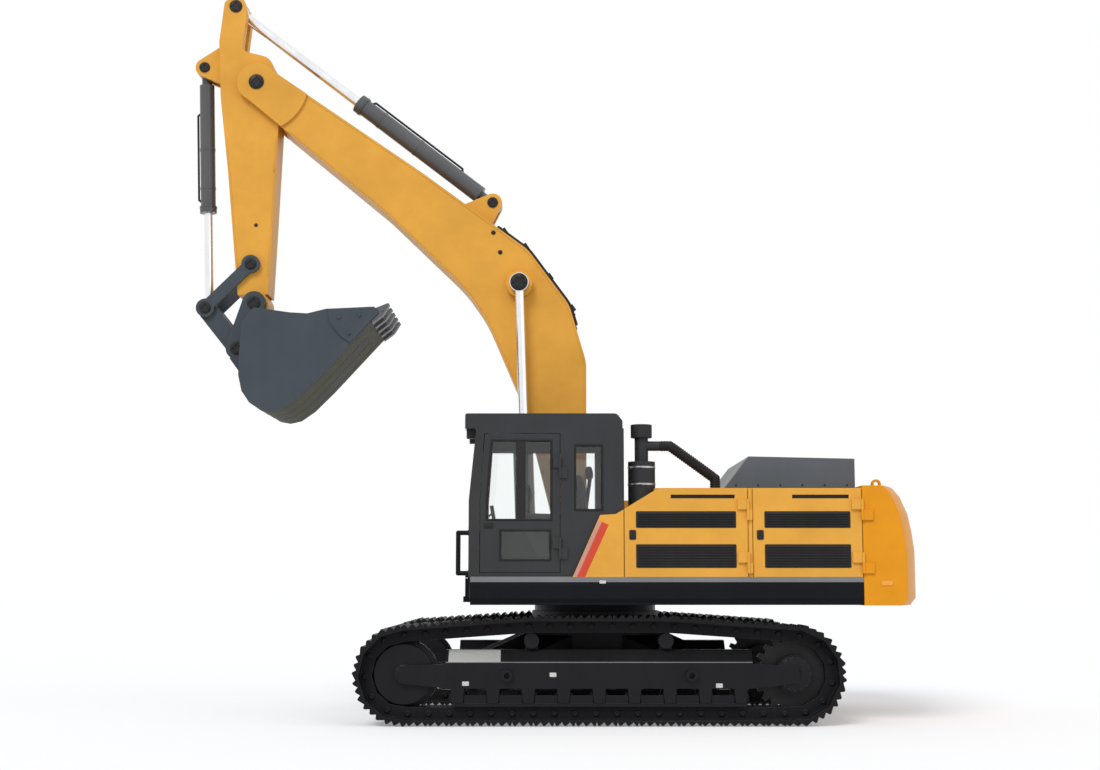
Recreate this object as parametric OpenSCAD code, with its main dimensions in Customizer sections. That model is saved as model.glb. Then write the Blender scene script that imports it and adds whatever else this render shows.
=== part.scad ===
// Crawler excavator, built up from its tracks to its bucket.
// Millimetres; X runs forward, Y to the left, Z up; the origin lies on the ground under the swing axis.

/* [Clearances] */
// Gap kept round every moving piece
running_gap = 6; // [5:1:12]
// Gap between a pin and its bore, a rod and its gland, and the faces of a hinge
bearing_gap = 0.3; // [0.1:0.1:1]
// Extra length that carries a cut past a face
overrun = 20; // [5:5:40]
// Facets of a round outline
round_facets = 40; // [24:4:72]

/* [Tracks] */
// Distance between the idler and sprocket axes
wheel_base = 4052; // [3200:1:4800]
// Distance between the track centre lines
track_gauge = 2590; // [2200:10:3000]
// Shoes in one track
shoe_count = 49; // [40:1:56]
// Width of a shoe
shoe_width = 600; // [500:50:900]
// Radius of the chain's pin line round the wheels
pin_line_radius = 398; // [300:1:480]
// Rise of the upper run toward the carrier rollers, in degrees
upper_run_slope = 4; // [0:0.1:6]
// Distance between the carrier rollers
carrier_spacing = 1400; // [1000:10:2000]
// Pin line to the rail that the rollers run on
rail_depth = 65; // [50:1:80]
// Pin line to the inner face of the shoe
shoe_seat = 58; // [45:1:70]
// Thickness of a shoe's plate
shoe_plate = 18; // [10:1:26]
// Height of a grouser above its plate
grouser_height = 36; // [20:1:50]
// Width of one chain rail
rail_width = 80; // [60:1:100]
// Gap between the two rails of a chain
rail_gap = 110; // [90:1:140]

/* [Track frames] */
// Width of a track frame
frame_width = 410; // [340:10:480]
// Underside of the track frame
frame_bottom = 368; // [340:2:400]
// Shoulder where the sloped top begins
frame_shoulder = 636; // [560:2:700]
// Flat ridge of the track frame
frame_ridge = 760; // [680:5:790]
// Gap between the ends of the track frame's box and the wheels
frame_clearance = 31; // [15:1:120]
// Rollers on the lower run of one track
roller_count = 9; // [7:1:11]
// Radius of a lower roller's tread
roller_radius = 92; // [75:1:110]
// Radius of a carrier roller
carrier_radius = 78; // [60:1:95]
// Radius of the idler's tread
idler_radius = 308; // [240:1:360]
// Teeth of the sprocket
sprocket_teeth = 21; // [17:2:25]
// Radius of the sprocket's tooth tips
sprocket_radius = 405; // [330:1:450]
// Radius of the final drive's drum
drive_radius = 250; // [200:5:290]

/* [Car body] */
// Underside of the centre box
body_bottom = 560; // [480:10:640]
// Top of the centre box
body_top = 960; // [880:10:1010]
// Half side of the centre box
body_half = 720; // [600:10:850]
// Width of a leg where it meets the track frame
leg_width = 560; // [400:10:700]
// Distance of a leg's end from the swing axis, along the track
leg_reach = 1150; // [900:10:1400]
// Top of the swing bearing's fixed race
race_top = 1140; // [1080:5:1180]
// Outer radius of the swing bearing
race_radius = 710; // [600:5:800]

/* [Revolving frame] */
// Underside of the revolving frame
deck_bottom = 1224; // [1150:2:1300]
// Thickness of its floor plate
deck_plate = 66; // [30:2:90]
// Half width over the side panels
deck_half = 1500; // [1350:5:1600]
// Front end of the floor under the cab
deck_front = 1340; // [1200:5:1500]
// Front end of the right-hand step deck
step_front = 1520; // [1400:10:1700]
// Front end of the middle of the floor
nose_front = 940; // [850:10:1050]
// Top of the side beams
beam_top = 1500; // [1420:5:1520]
// Width of a side beam
beam_width = 110; // [80:5:150]
// Thickness of a boom bracket's plate
bracket_plate = 55; // [40:5:80]

/* [Counterweight] */
// Tail swing radius
tail_radius = 3545; // [3300:1:3900]
// Front face of the counterweight, behind the swing axis
weight_front = 2760; // [2600:5:2900]
// Underside of the counterweight
weight_bottom = 1219; // [1150:1:1300]
// Height of the counterweight
weight_height = 1247; // [1000:1:1400]
// Turn of the rear face about the swing axis, in degrees
weight_sweep = 80; // [60:2:110]

/* [Engine housing] */
// Thickness of a door or cover panel
panel_thickness = 22; // [15:1:40]
// Lower edge of the side panels
panel_bottom = 1513; // [1480:1:1560]
// Top of the housing
housing_top = 2440; // [2300:5:2600]
// Seam between the front cover and the front door, behind the swing axis
front_seam = 266; // [200:2:400]
// Seam between the two left doors
middle_seam = 1585; // [1400:5:1700]
// Gap at a panel seam
seam_gap = 8; // [5:1:14]
// Firewall behind the swing axis
firewall_offset = 590; // [500:5:700]
// Underside of the upper row of louvres
upper_louvre_bottom = 2031; // [1950:1:2100]
// Height of the upper row of louvres
upper_louvre_height = 157; // [100:1:200]
// Underside of the lower row of louvres
lower_louvre_bottom = 1616; // [1560:1:1700]
// Height of the lower row of louvres
lower_louvre_height = 228; // [150:1:300]
// Underside of the pull slot at the top of a door
pull_slot_bottom = 2330; // [2250:5:2380]
// Number of slats in a row
slat_count = 5; // [3:1:8]
// Top of the engine hood
hood_top = 2810; // [2700:5:2900]
// Thickness of the hood's sheet
hood_sheet = 25; // [15:1:40]

/* [Air cleaner] */
// Diameter of the canister
canister_diameter = 290; // [220:5:340]
// Distance of the canister behind the swing axis
canister_offset = 470; // [420:5:520]
// Distance of the canister's middle in from the side panels
canister_inset = 310; // [250:5:500]
// Top of the rain cap
cap_top = 3131; // [3000:1:3200]
// Diameter of the rain cap
cap_diameter = 225; // [180:5:260]
// Diameter of the intake duct
duct_diameter = 104; // [80:2:130]

/* [Cab] */
// Rear face of the cab, behind the swing axis
cab_rear = 270; // [200:5:350]
// Front face of the cab
cab_front = 1361; // [1250:1:1450]
// Right-hand face of the cab
cab_right = 512; // [505:1:600]
// Distance of the cab's left-hand face in from the side panels
cab_side_clearance = 34; // [30:1:100]
// Top of the cab floor
cab_floor_top = 1560; // [1520:5:1620]
// Height where the windscreen begins to lean
lean_start = 2313; // [2100:1:2500]
// Front face at the top of the windscreen
lean_front = 1286; // [1200:1:1361]
// Top of the cab walls
cab_wall_top = 3070; // [2950:1:3120]
// Top of the roof
roof_top = 3229; // [3150:1:3300]
// Front edge of the roof
roof_front = 1404; // [1361:1:1500]
// Rear edge of the roof's flat, behind the swing axis
roof_rear = 198; // [150:1:250]
// Thickness of a cab wall
cab_wall = 60; // [40:2:90]
// Thickness of a pane
pane_thickness = 8; // [5:1:14]
// Rear edge of the door
door_rear = 405; // [350:5:450]
// Front edge of the door
door_front = 1240; // [1150:5:1260]
// Top of the door
door_top = 3010; // [2900:5:3040]
// Height of the operator seat's cushion above the floor
cushion_height = 480; // [400:10:560]

/* [Boom] */
// Distance of the boom's foot pin ahead of the swing axis
boom_foot_x = 260; // [150:5:400]
// Height of the boom's foot pin
boom_foot_z = 2000; // [1850:5:2150]
// Foot pin to tip pin
boom_length = 6380; // [5500:10:7000]
// Angle of the boom above level
boom_angle = 55; // [40:0.5:62]
// Width over the boom's side plates
boom_width = 500; // [420:10:540]
// Width over the foot and tip bosses
boom_boss_width = 560; // [540:2:564]
// Radius of the large pivot pins
pivot_pin_radius = 62; // [50:1:75]
// Radius of the foot and tip bosses
pivot_boss_radius = 190; // [160:5:220]
// Radius of the bends in the side plates
bend_radius = 900; // [500:50:1300]

/* [Cylinders] */
// Offset of a boom cylinder from the middle
boom_cylinder_offset = 400; // [395:1:405]
// Boom cylinder base pin ahead of the swing axis
boom_base_x = 745; // [700:5:800]
// Boom cylinder base pin above the ground
boom_base_z = 1450; // [1420:5:1500]
// Radius of a boom cylinder's barrel
boom_barrel_radius = 92; // [80:1:100]
// Radius of a boom cylinder's rod
boom_rod_radius = 52; // [42:1:58]
// Base pin to the gland of a boom cylinder
boom_barrel_length = 1850; // [1700:10:1900]
// Radius of the arm cylinder's barrel
arm_barrel_radius = 100; // [85:1:110]
// Radius of the arm cylinder's rod
arm_rod_radius = 58; // [48:1:64]
// Base pin to the gland of the arm cylinder
arm_barrel_length = 2000; // [1900:10:2050]
// Radius of the bucket cylinder's barrel
bucket_barrel_radius = 86; // [75:1:95]
// Radius of the bucket cylinder's rod
bucket_rod_radius = 50; // [40:1:56]
// Base pin to the gland of the bucket cylinder
bucket_barrel_length = 1720; // [1650:10:1725]
// Radius of the cylinder pins
cylinder_pin_radius = 48; // [38:1:56]
// Width of a cylinder's eye in the middle of the machine
eye_width = 120; // [100:2:126]
// Width of a boom cylinder's eye
boom_eye_width = 108; // [90:2:110]
// Radius of a cylinder's eye
eye_radius = 108; // [90:1:120]

/* [Stick] */
// Tip pin of the boom to the bucket pin
stick_length = 2600; // [2300:10:3200]
// Lean of the stick toward the machine, in degrees
stick_lean = 0.6; // [-3:0.1:3]
// Width of the stick
stick_width = 400; // [360:2:404]
// Width over the stick's bosses
stick_boss_width = 410; // [404:2:412]
// Width of the slot in the stick's tail
tail_slot = 150; // [140:2:170]
// Radius of the stick's bends
stick_bend_radius = 160; // [80:10:260]

/* [Bucket linkage] */
// Length of a rocker between its pins
rocker_length = 720; // [650:5:780]
// Angle of the rockers below level
rocker_angle = 45; // [30:1:60]
// Bucket pin to link pin
ear_length = 558; // [500:2:620]
// Angle of the link pin below level
ear_angle = 70.9; // [60:0.1:85]
// Thickness of a rocker
rocker_plate = 40; // [30:2:44]
// Thickness of a bucket ear
ear_plate = 60; // [40:2:70]
// Radius of the linkage pins
link_pin_radius = 52; // [42:1:60]
// Radius of the linkage bosses
link_boss_radius = 105; // [90:1:115]

/* [Bucket] */
// Width over the side plates
bucket_width = 1400; // [1100:10:1700]
// Bucket pin to the lip
bucket_reach = 1617; // [1400:1:1800]
// Thickness of a side plate
side_plate_thickness = 36; // [25:1:50]
// Number of teeth
tooth_count = 5; // [4:1:7]
// Width of a tooth
tooth_width = 110; // [80:2:150]

/* [Hidden] */
$fn = round_facets;

paint_yellow = [0.89, 0.62, 0.16];
paint_grey = [0.28, 0.29, 0.31];
paint_black = [0.1, 0.1, 0.12];
paint_blue_grey = [0.31, 0.34, 0.37];
bare_steel = [0.62, 0.63, 0.65];
tinted_glass = [0.25, 0.3, 0.32];
trim_black = [0.13, 0.13, 0.14];

// Track geometry
wheel_half = 0.5 * wheel_base;
tip_height = shoe_seat + shoe_plate + grouser_height;
axle_height = tip_height + pin_line_radius;
carrier_half = 0.5 * carrier_spacing;
run_arc = pin_line_radius * (180 - upper_run_slope) * PI / 180;
run_slope_length = (wheel_half + pin_line_radius * sin(upper_run_slope) - carrier_half)
  / cos(upper_run_slope);
upper_pin_line = axle_height + pin_line_radius * cos(upper_run_slope)
  + run_slope_length * sin(upper_run_slope);
loop_length = wheel_base + 2 * run_arc + 2 * run_slope_length + carrier_spacing;
shoe_pitch = loop_length / shoe_count;
track_half = 0.5 * track_gauge;
rail_inner = 0.5 * rail_gap;
rail_outer = rail_inner + rail_width;
// Along the shoe and up its grouser, as shares of the pitch and of the grouser's height
grouser_shares = [[-0.45, 1], [-0.37, 1], [-0.25, 0], [-0.06, 1], [0.02, 1], [0.14, 0], [0.33, 1],
  [0.41, 1], [0.49, 0]];

// Turn past a sprocket tooth's root and radius there, as shares of the pitch and of the tip radius
tooth_step_shares = [[0, 0.86], [0.3, 0.86], [0.45, 1], [0.85, 1]];

// Heights shared between pieces
roller_axle = tip_height + rail_depth + roller_radius;
frame_half = 0.5 * frame_width;
deck_top = deck_bottom + deck_plate;
boss_half = 0.5 * boom_boss_width;
bracket_inner = boss_half + running_gap;
bracket_outer = bracket_inner + bracket_plate;
boom_half = 0.5 * boom_width;
eye_half = 0.5 * eye_width;
lug_half = eye_half + running_gap + bracket_plate;
boom_eye_inner = boom_cylinder_offset - 0.5 * boom_eye_width;
boom_eye_outer = boom_cylinder_offset + 0.5 * boom_eye_width;
pivot_bore_radius = pivot_pin_radius + bearing_gap;
cylinder_bore_radius = cylinder_pin_radius + bearing_gap;
link_bore_radius = link_pin_radius + bearing_gap;
panel_inner = deck_half - panel_thickness;
cab_left = deck_half - cab_side_clearance;
canister_side = deck_half - canister_inset;
beam_inner = deck_half - 1.5 * beam_width;

// Working equipment in the side view, as [forward, up]
boom_foot = [boom_foot_x, boom_foot_z];
boom_along = [cos(boom_angle), sin(boom_angle)];
boom_up = [-sin(boom_angle), cos(boom_angle)];
// Outline of the boom from its foot round the belly, the tip and the back, as shares of its length
boom_shares = [[0, -0.029], [0.235, 0.06], [0.4, 0.0945], [0.47, 0.0945], [0.66, 0.0575],
  [1, -0.036], [1, 0.036], [0.69, 0.151], [0.4624, 0.2273], [0.337, 0.2304], [0.235, 0.196], [0, 0.0313]];
boom_bend_shares = [0, 1.6, 1.9, 1.9, 1.9, 0, 0, 1, 0.5, 0.5, 0.6, 0];
boom_rod_pin_shares = [0.4174, 0.1777];
arm_base_pin_shares = [0.5738, 0.227];
// Slot in the belly that the stick folds into, and the run of the pipes on the back
belly_slot_shares = [[0.865, -0.06], [1.08, -0.06], [1.08, 0.03], [0.93, 0.03]];
pipe_span_shares = [[0.3, 0.14], [0.3, 0.3], [0.53, 0.3], [0.53, 0.15]];
boom_tip = boom_foot + boom_length * boom_along;
boom_rod_pin = boom_point(boom_rod_pin_shares);
arm_base_pin = boom_point(arm_base_pin_shares);
boom_base_pin = [boom_base_x, boom_base_z];

stick_down = [-sin(stick_lean), -cos(stick_lean)];
stick_front = [cos(stick_lean), -sin(stick_lean)];
// Outline of the stick: down from the tip pin and forward of it, as shares of its length
stick_shares = [[0.96, 0.077], [0.4, 0.1273], [0.0577, 0.1654], [-0.2, 0.175], [-0.392, 0.152],
  [-0.407, 0.068], [-0.33, 0.052], [-0.155, 0.073], [-0.12, -0.06], [0.0769, -0.1008], [0.4019, -0.0854],
    [0.96, -0.058]];
stick_bend_shares = [0, 1, 1, 1, 0.4, 0.4, 1, 0.5, 1, 1, 1, 0];
arm_rod_pin_shares = [-0.3623, 0.1023];
bucket_base_pin_shares = [-0.0888, 0.2453];
rocker_pin_shares = [0.825, 0.0181];
// Slot for the arm cylinder's eye and the bosses of the bucket cylinder's lugs
tail_slot_shares = [[-0.125, -0.3], [-0.125, 0.06], [-0.24, 0.3], [-0.6, 0.3], [-0.6, -0.3]];
bucket_lug_shares = [bucket_base_pin_shares, [-0.17, 0.12], [-0.03, 0.11]];
arm_rod_pin = stick_point(arm_rod_pin_shares);
bucket_base_pin = stick_point(bucket_base_pin_shares);
rocker_pin = stick_point(rocker_pin_shares);
bucket_pin = stick_point([1, 0]);
knee_pin = rocker_pin + rocker_length * [cos(rocker_angle), -sin(rocker_angle)];
link_pin = bucket_pin + ear_length * [cos(ear_angle), -sin(ear_angle)];
stick_half = 0.5 * stick_width;
stick_boss_half = 0.5 * stick_boss_width;
fork_inner = stick_boss_half + running_gap;

// Outline of the bucket's side, from the bucket pin, as shares of its reach
bucket_shares = [[0.03, -0.19], [0.042, -0.4], [0.045, -0.55], [0.02, -0.66], [-0.035, -0.74],
  [-0.11, -0.79], [-0.18, -0.803], [-0.26, -0.785], [-0.36, -0.715], [-0.5, -0.575], [-0.92, -0.115],
  [-0.88, -0.075], [-0.55, -0.09], [-0.42, -0.122], [-0.3, -0.115], [-0.05, -0.08]];
// Inner outline of the shell
bucket_inner_shares = [[0.015, -0.4], [0.018, -0.546], [-0.004, -0.646], [-0.053, -0.719], [-0.12, -0.764],
  [-0.178, -0.776], [-0.248, -0.76], [-0.342, -0.695], [-0.48, -0.557], [-0.9675, -0.023], [-0.5, -0.05],
  [0.01, -0.105]];
// Gusset of an ear and side of a tooth
ear_shares = [[-0.09, -0.05], [0.09, -0.05], [0.16, -0.4], [0.043, -0.56], [0.03, -0.3]];
tooth_shares = [[-0.868, -0.19], [-0.941, -0.134], [-0.986, -0.06], [-0.978, -0.049], [-0.887, -0.085],
  [-0.836, -0.133]];

// Sizes worked out for single pieces
idler_flange_share = 1.16;
frame_half_length = wheel_half - max(sprocket_radius, idler_flange_share * idler_radius) - frame_clearance;
frame_length = 2 * frame_half_length;
roller_spacing = 0.92 * frame_length / (roller_count - 1);
roller_first = -0.46 * frame_length;
roller_cap = rail_outer + 0.35 * rail_width;
yoke_height = 0.36 * pin_line_radius;
carrier_axle = upper_pin_line - rail_depth - running_gap - carrier_radius;
eye_height = 0.5 * (frame_bottom + frame_shoulder);
lug_radius = 0.3 * frame_half;
lug_bore = 0.5 * lug_radius;
lug_inner = boom_eye_outer + running_gap;
lug_outer = cab_right - running_gap;
// Radius and height of the casting's rear outline, as shares of the tail radius and of its height
weight_shares = [[0.7, 0], [0.985, 0], [1, 0.06], [1, 0.46], [0.993, 0.62], [0.982, 0.78], [0.96, 0.93],
  [0.94, 1],
  [0.7, 1]];
eye_station = 0.55 * deck_half;
weight_top = weight_bottom + weight_height;
lift_eye_radius = 0.035 * deck_half;
// Outline of the left side from the slanted front edge to the counterweight
side_slope = [[0.2 * cab_front, panel_bottom], [-0.06 * cab_rear, 0.884 * housing_top],
  [-0.67 * cab_rear, 0.888 * housing_top],
  [-2.2 * cab_rear, 0.991 * housing_top], [-2.45 * cab_rear, housing_top]];
pull_slot_height = 0.25 * upper_louvre_height;
// Sloping sheet behind the cab, as [forward, up]
slope_front = [-cab_rear - 2 * running_gap, 0.893 * housing_top];
slope_rear = [-firewall_offset, 0.991 * housing_top];
post_half = 2.5 * seam_gap;
door_one_rear = -middle_seam + post_half + seam_gap;
door_one_front = -front_seam - 0.5 * seam_gap;
door_two_rear = -weight_front + seam_gap;
door_two_front = -middle_seam - post_half - seam_gap;
hinge_post = 2 * panel_thickness;
hinge_reach = 1.2 * panel_thickness;
hinge_radius = 0.7 * panel_thickness;
hinge_leaf = 5 * panel_thickness;
hinge_heights = [0.56 * (housing_top + panel_bottom), 0.42 * (housing_top + panel_bottom)];
door_one_axis = [door_one_rear - 0.5 * seam_gap, deck_half + hinge_reach];
door_two_axis = [-weight_front + 0.5 * seam_gap, deck_half + hinge_reach];
right_door_axis = [-weight_front + 0.5 * seam_gap, -deck_half - hinge_reach];
right_door_front = -0.42 * weight_front;
hood_front = 0.5 * weight_front;
hood_rear = 1.01 * weight_front;
hood_half = 0.66 * deck_half;
frame_inner = panel_inner - running_gap;
hood_seat = weight_top + running_gap;
hood_axis = [-hood_rear - 1.5 * hinge_radius, weight_top + 1.5 * hinge_radius];
hood_leaf = 0.2 * hood_half;
tank_inner = -0.5 * deck_half;
tank_front = 0.58 * cab_front;
box_rear = 0.66 * cab_front;
box_front = 0.99 * step_front;
box_inner = -0.42 * deck_half;
box_top = beam_top;
box_sheet = 0.3 * beam_width;
lid_top = box_top + 0.3 * beam_width;
lid_axis = [box_rear - 2 * hinge_radius, box_top + hinge_radius];
lid_leaf = 0.1 * deck_half;
box_middle = 0.5 * (box_inner - beam_inner);
canister_radius = 0.5 * canister_diameter;
canister_top = 0.873 * cap_top;
duct_radius = 0.5 * duct_diameter;
outlet_height = canister_top + 0.43 * (cap_top - canister_top);
outlet_end = -canister_offset - 1.3 * canister_radius;
duct_points = [[outlet_end, canister_side, outlet_height],
  [-1.65 * canister_offset, canister_side, outlet_height],
  [-2.7 * canister_offset, 0.88 * canister_side, housing_top + 1.2 * duct_diameter],
  [-2.7 * canister_offset, 0.88 * canister_side, housing_top]];
rail_radius = 0.16 * beam_width;
rail_top = 1.41 * beam_top;
rail_station = 0.5 * beam_width - deck_half;
grab_front = cab_front + 1.8 * cab_wall;
grab_station = cab_left - 0.5 * cab_wall;
grab_low = 1.035 * beam_top;
grab_high = 1.315 * beam_top;
cab_floor_bottom = deck_top;
wall_low = panel_bottom;
cab_inner_right = cab_right + cab_wall;
cab_inner_left = cab_left - cab_wall;
quarter_front = 0.6 * door_rear;
quarter_rear = -0.15 * cab_rear;
quarter_low = 0.72 * cab_wall_top;
quarter_high = 0.942 * cab_wall_top;
door_outline_points = [[door_rear, cab_floor_top], [door_front, cab_floor_top], [door_front, lean_start],
  [door_front - 0.6 * (cab_front - lean_front), door_top], [door_rear, door_top]];
cab_hinge_axis = [door_rear - 0.5 * running_gap, cab_left + hinge_reach];
cab_hinge_heights = [1.16 * cab_floor_top, 1.7 * cab_floor_top];
header_low = 0.962 * cab_wall_top;
sill_high = 0.55 * cab_wall_top;
roof_mid = 0.5 * (cab_wall_top + roof_top);
pane_set = 0.5 * (cab_wall - pane_thickness);
door_glass_rear = 1.22 * door_rear;
door_glass_front = 0.945 * door_front;
door_glass_low = 0.7 * door_top;
door_glass_high = 0.978 * door_top;
door_leaf = 0.75 * cab_wall;
chair_middle = 0.5 * (cab_left + cab_right);
chair_half = 0.26 * (cab_left - cab_right);
chair_front = 0.55 * cab_front;
chair_rear = 0.08 * cab_front;
cushion_top = cab_floor_top + cushion_height;
console_half = 0.074 * (cab_left - cab_right);
lever_radius = 0.2 * console_half;
lamp_size = 1.6 * cab_wall;
tip_slot_depth = 2.35 * pivot_boss_radius;
rocker_inner = stick_boss_half + running_gap;
link_inner = eye_half + running_gap;
ear_outer = rocker_inner + ear_plate;
bucket_half = 0.5 * bucket_width;

function boom_point(share) = boom_foot + boom_length * (share.x * boom_along + share.y * boom_up);
function stick_point(share) = boom_tip + stick_length * (share.x * stick_down + share.y * stick_front);
function bucket_point(share) = bucket_pin + bucket_reach * share;
function boom_points(shares) = [for (share = shares) boom_point(share)];
function stick_points(shares) = [for (share = shares) stick_point(share)];
function bucket_points(shares) = [for (share = shares) bucket_point(share)];
function unit(v) = v / norm(v);
function level_angle(p, q) = atan2(q.y - p.y, q.x - p.x);
// Arc that rounds the corner q between p and s
function corner_arc(p, q, s, radius, steps) =
  let (a = unit(p - q), b = unit(s - q), half = 0.5 * acos(a * b),
    centre = q + unit(a + b) * radius / sin(half),
    from = q + a * radius / tan(half) - centre, to = q + b * radius / tan(half) - centre,
    start = atan2(from.y, from.x), raw = atan2(to.y, to.x) - start,
    turn = raw > 180 ? raw - 360 : raw < -180 ? raw + 360 : raw)
  [for (i = [0:steps]) centre + radius * [cos(start + turn * i / steps), sin(start + turn * i / steps)]];
// Closed outline with a radius at each corner
function rounded(points, radii, steps) =
  let (count = len(points))
  [for (i = [0:count - 1]) each radii[i] == 0 ? [points[i]]
    : corner_arc(points[(i + count - 1) % count], points[i], points[(i + 1) % count], radii[i], steps)];

// Place on the chain's pin line at a run s from the rear of the lower run: [forward, up, heading]
function loop_place(s) =
  s < wheel_base ? [s - wheel_half, tip_height, 0]
  : s < wheel_base + run_arc
    ? let (turn = (s - wheel_base) / pin_line_radius * 180 / PI)
    [wheel_half + pin_line_radius * sin(turn), axle_height - pin_line_radius * cos(turn), turn]
  : s < wheel_base + run_arc + run_slope_length
    ? let (back = wheel_base + run_arc + run_slope_length - s)
    [carrier_half + back * cos(upper_run_slope), upper_pin_line - back * sin(upper_run_slope),
      180 - upper_run_slope]
  : s < wheel_base + run_arc + run_slope_length + carrier_spacing
    ? [carrier_half - (s - wheel_base - run_arc - run_slope_length), upper_pin_line, 180]
  : s < wheel_base + run_arc + 2 * run_slope_length + carrier_spacing
    ? let (on = s - wheel_base - run_arc - run_slope_length - carrier_spacing)
    [-carrier_half - on * cos(upper_run_slope), upper_pin_line - on * sin(upper_run_slope),
      180 + upper_run_slope]
  : let (turn = (loop_length - s) / pin_line_radius * 180 / PI)
    [-wheel_half - pin_line_radius * sin(turn), axle_height - pin_line_radius * cos(turn), -turn];
// Point beside the pin line: on along its heading, out away from the loop's inside
function loop_point(place, on, out) =
  [place.x + on * cos(place.z) + out * sin(place.z), place.y + on * sin(place.z) - out * cos(place.z)];
// Loop through the chain's pins, set out by a distance
function pin_loop(out) = [for (i = [0:shoe_count - 1]) loop_point(loop_place((i + 0.5) * shoe_pitch), 0,
  out)];
function shoe_loop() = [for (i = [0:shoe_count - 1]) for (g = grouser_shares)
  loop_point(loop_place(i * shoe_pitch), g.x * shoe_pitch, shoe_seat + shoe_plate + g.y * grouser_height)];

// Plate with a side-view outline, between two stations across the machine
module plate_across(from, to) {
  translate([0, to, 0])
    rotate([90, 0, 0])
      linear_extrude(to - from)
        children();
}

// The same plate on both sides of the middle
module plate_pair(from, to) {
  plate_across(from, to) children();
  plate_across(-to, -from) children();
}

// Round bar across the machine
module bar_across(centre, radius, from, to) {
  translate([centre.x, to, centre.y])
    rotate([90, 0, 0])
      cylinder(r = radius, h = to - from);
}

// Box between two opposite corners
module box_between(low, high) {
  translate(low)
    cube(high - low);
}

// Round bar from one point to another
module bar_between(low, high, radius) {
  span = high - low;
  flat = norm([span.x, span.y]);
  translate(low)
    rotate([0, atan2(flat, span.z), atan2(span.y, span.x)])
      cylinder(r = radius, h = norm(span));
}

// Bent tube through a list of points
module bent_tube(points, radius) {
  for (i = [0:len(points) - 2])
    bar_between(points[i], points[i + 1], radius);
  for (i = [1:len(points) - 2])
    translate(points[i])
      sphere(r = 1.04 * radius);
}

// Outline through two round bosses
module strap_outline(p, q, radius_p, radius_q) {
  hull() {
    translate(p)
      circle(r = radius_p);
    translate(q)
      circle(r = radius_q);
  }
}

// Turned piece about a line across the machine; children give [radius, station]
module turned_across(centre, station) {
  translate([centre.x, station, centre.y])
    rotate([-90, 0, 0])
      rotate_extrude()
        children();
}

module track(side) {
  color(paint_black)
    translate([0, side * track_half, 0]) {
      plate_across(-0.5 * shoe_width, 0.5 * shoe_width)
        difference() {
          polygon(shoe_loop());
          polygon(pin_loop(shoe_seat));
        }
      plate_pair(rail_inner, rail_outer)
        difference() {
          polygon(pin_loop(shoe_seat + 0.4 * shoe_plate));
          polygon(pin_loop(-rail_depth));
        }
    }
}

module track_left() {
  track(1);
}

module track_right() {
  track(-1);
}

module track_frame(side) {
  color(paint_black)
    translate([0, side * track_half, 0]) {
      translate([-frame_half_length, 0, 0])
        rotate([90, 0, 90])
          linear_extrude(frame_length)
            polygon([[-frame_half, frame_bottom], [frame_half, frame_bottom], [frame_half, frame_shoulder],
              [0.35 * frame_half, frame_ridge], [-0.35 * frame_half, frame_ridge],
              [-frame_half, frame_shoulder]]);
      for (end = [-1, 1])
        plate_pair(roller_cap, frame_half)
          polygon([[end * 0.98 * frame_half_length, axle_height - yoke_height],
            [end * (wheel_half + 0.3 * yoke_height), axle_height - 0.6 * yoke_height],
            [end * (wheel_half + 0.3 * yoke_height), axle_height + 0.6 * yoke_height],
            [end * 0.98 * frame_half_length, axle_height + 0.8 * yoke_height]]);
      for (i = [0:roller_count - 1])
        plate_pair(roller_cap, frame_half)
          translate([roller_first + i * roller_spacing, 0])
            polygon([[-0.75 * roller_radius, frame_bottom + overrun],
              [-0.6 * roller_radius, 0.82 * roller_axle],
              [0.6 * roller_radius, 0.82 * roller_axle], [0.75 * roller_radius, frame_bottom + overrun]]);
      for (end = [-1, 1])
        plate_across(-0.2 * rail_gap, 0.2 * rail_gap)
          translate([end * carrier_half, 0])
            polygon([[-carrier_radius, frame_ridge - overrun], [carrier_radius, frame_ridge - overrun],
              [0.5 * carrier_radius, carrier_axle + 0.4 * carrier_radius],
              [-0.5 * carrier_radius, carrier_axle + 0.4 * carrier_radius]]);
    }
}

module track_frame_left() {
  track_frame(1);
}

module track_frame_right() {
  track_frame(-1);
}

// Roller or idler with a flange between the chain's rails, turned about its axle
module flanged_wheel(centre, side, tread, hub_share, flange_share) {
  half = [[0, 0], [hub_share, 0], [hub_share, roller_cap - rail_outer], [1, roller_cap - rail_outer],
    [1, roller_cap - rail_inner], [flange_share, roller_cap - 0.8 * rail_inner]];
  turned_across(centre, side * track_half - roller_cap)
    polygon(concat([for (p = half) [p.x * tread, p.y]],
      [for (i = [len(half) - 1:-1:0]) [half[i].x * tread, 2 * roller_cap - half[i].y]]));
}

module lower_rollers() {
  color(paint_black)
    for (side = [-1, 1])
      for (i = [0:roller_count - 1])
        flanged_wheel([roller_first + i * roller_spacing, roller_axle], side, roller_radius, 0.72, 1.06);
}

module carrier_rollers() {
  color(paint_black)
    for (side = [-1, 1])
      for (end = [-1, 1])
        for (half = [-1, 1])
          translate([0, half > 0 ? 0.2 * rail_gap : -rail_outer, 0])
            bar_across([end * carrier_half, carrier_axle], carrier_radius,
              side * track_half, side * track_half + rail_outer - 0.2 * rail_gap);
}

module idlers() {
  color(paint_black)
    for (side = [-1, 1])
      flanged_wheel([wheel_half, axle_height], side, idler_radius, 0.35, idler_flange_share);
}

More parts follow.
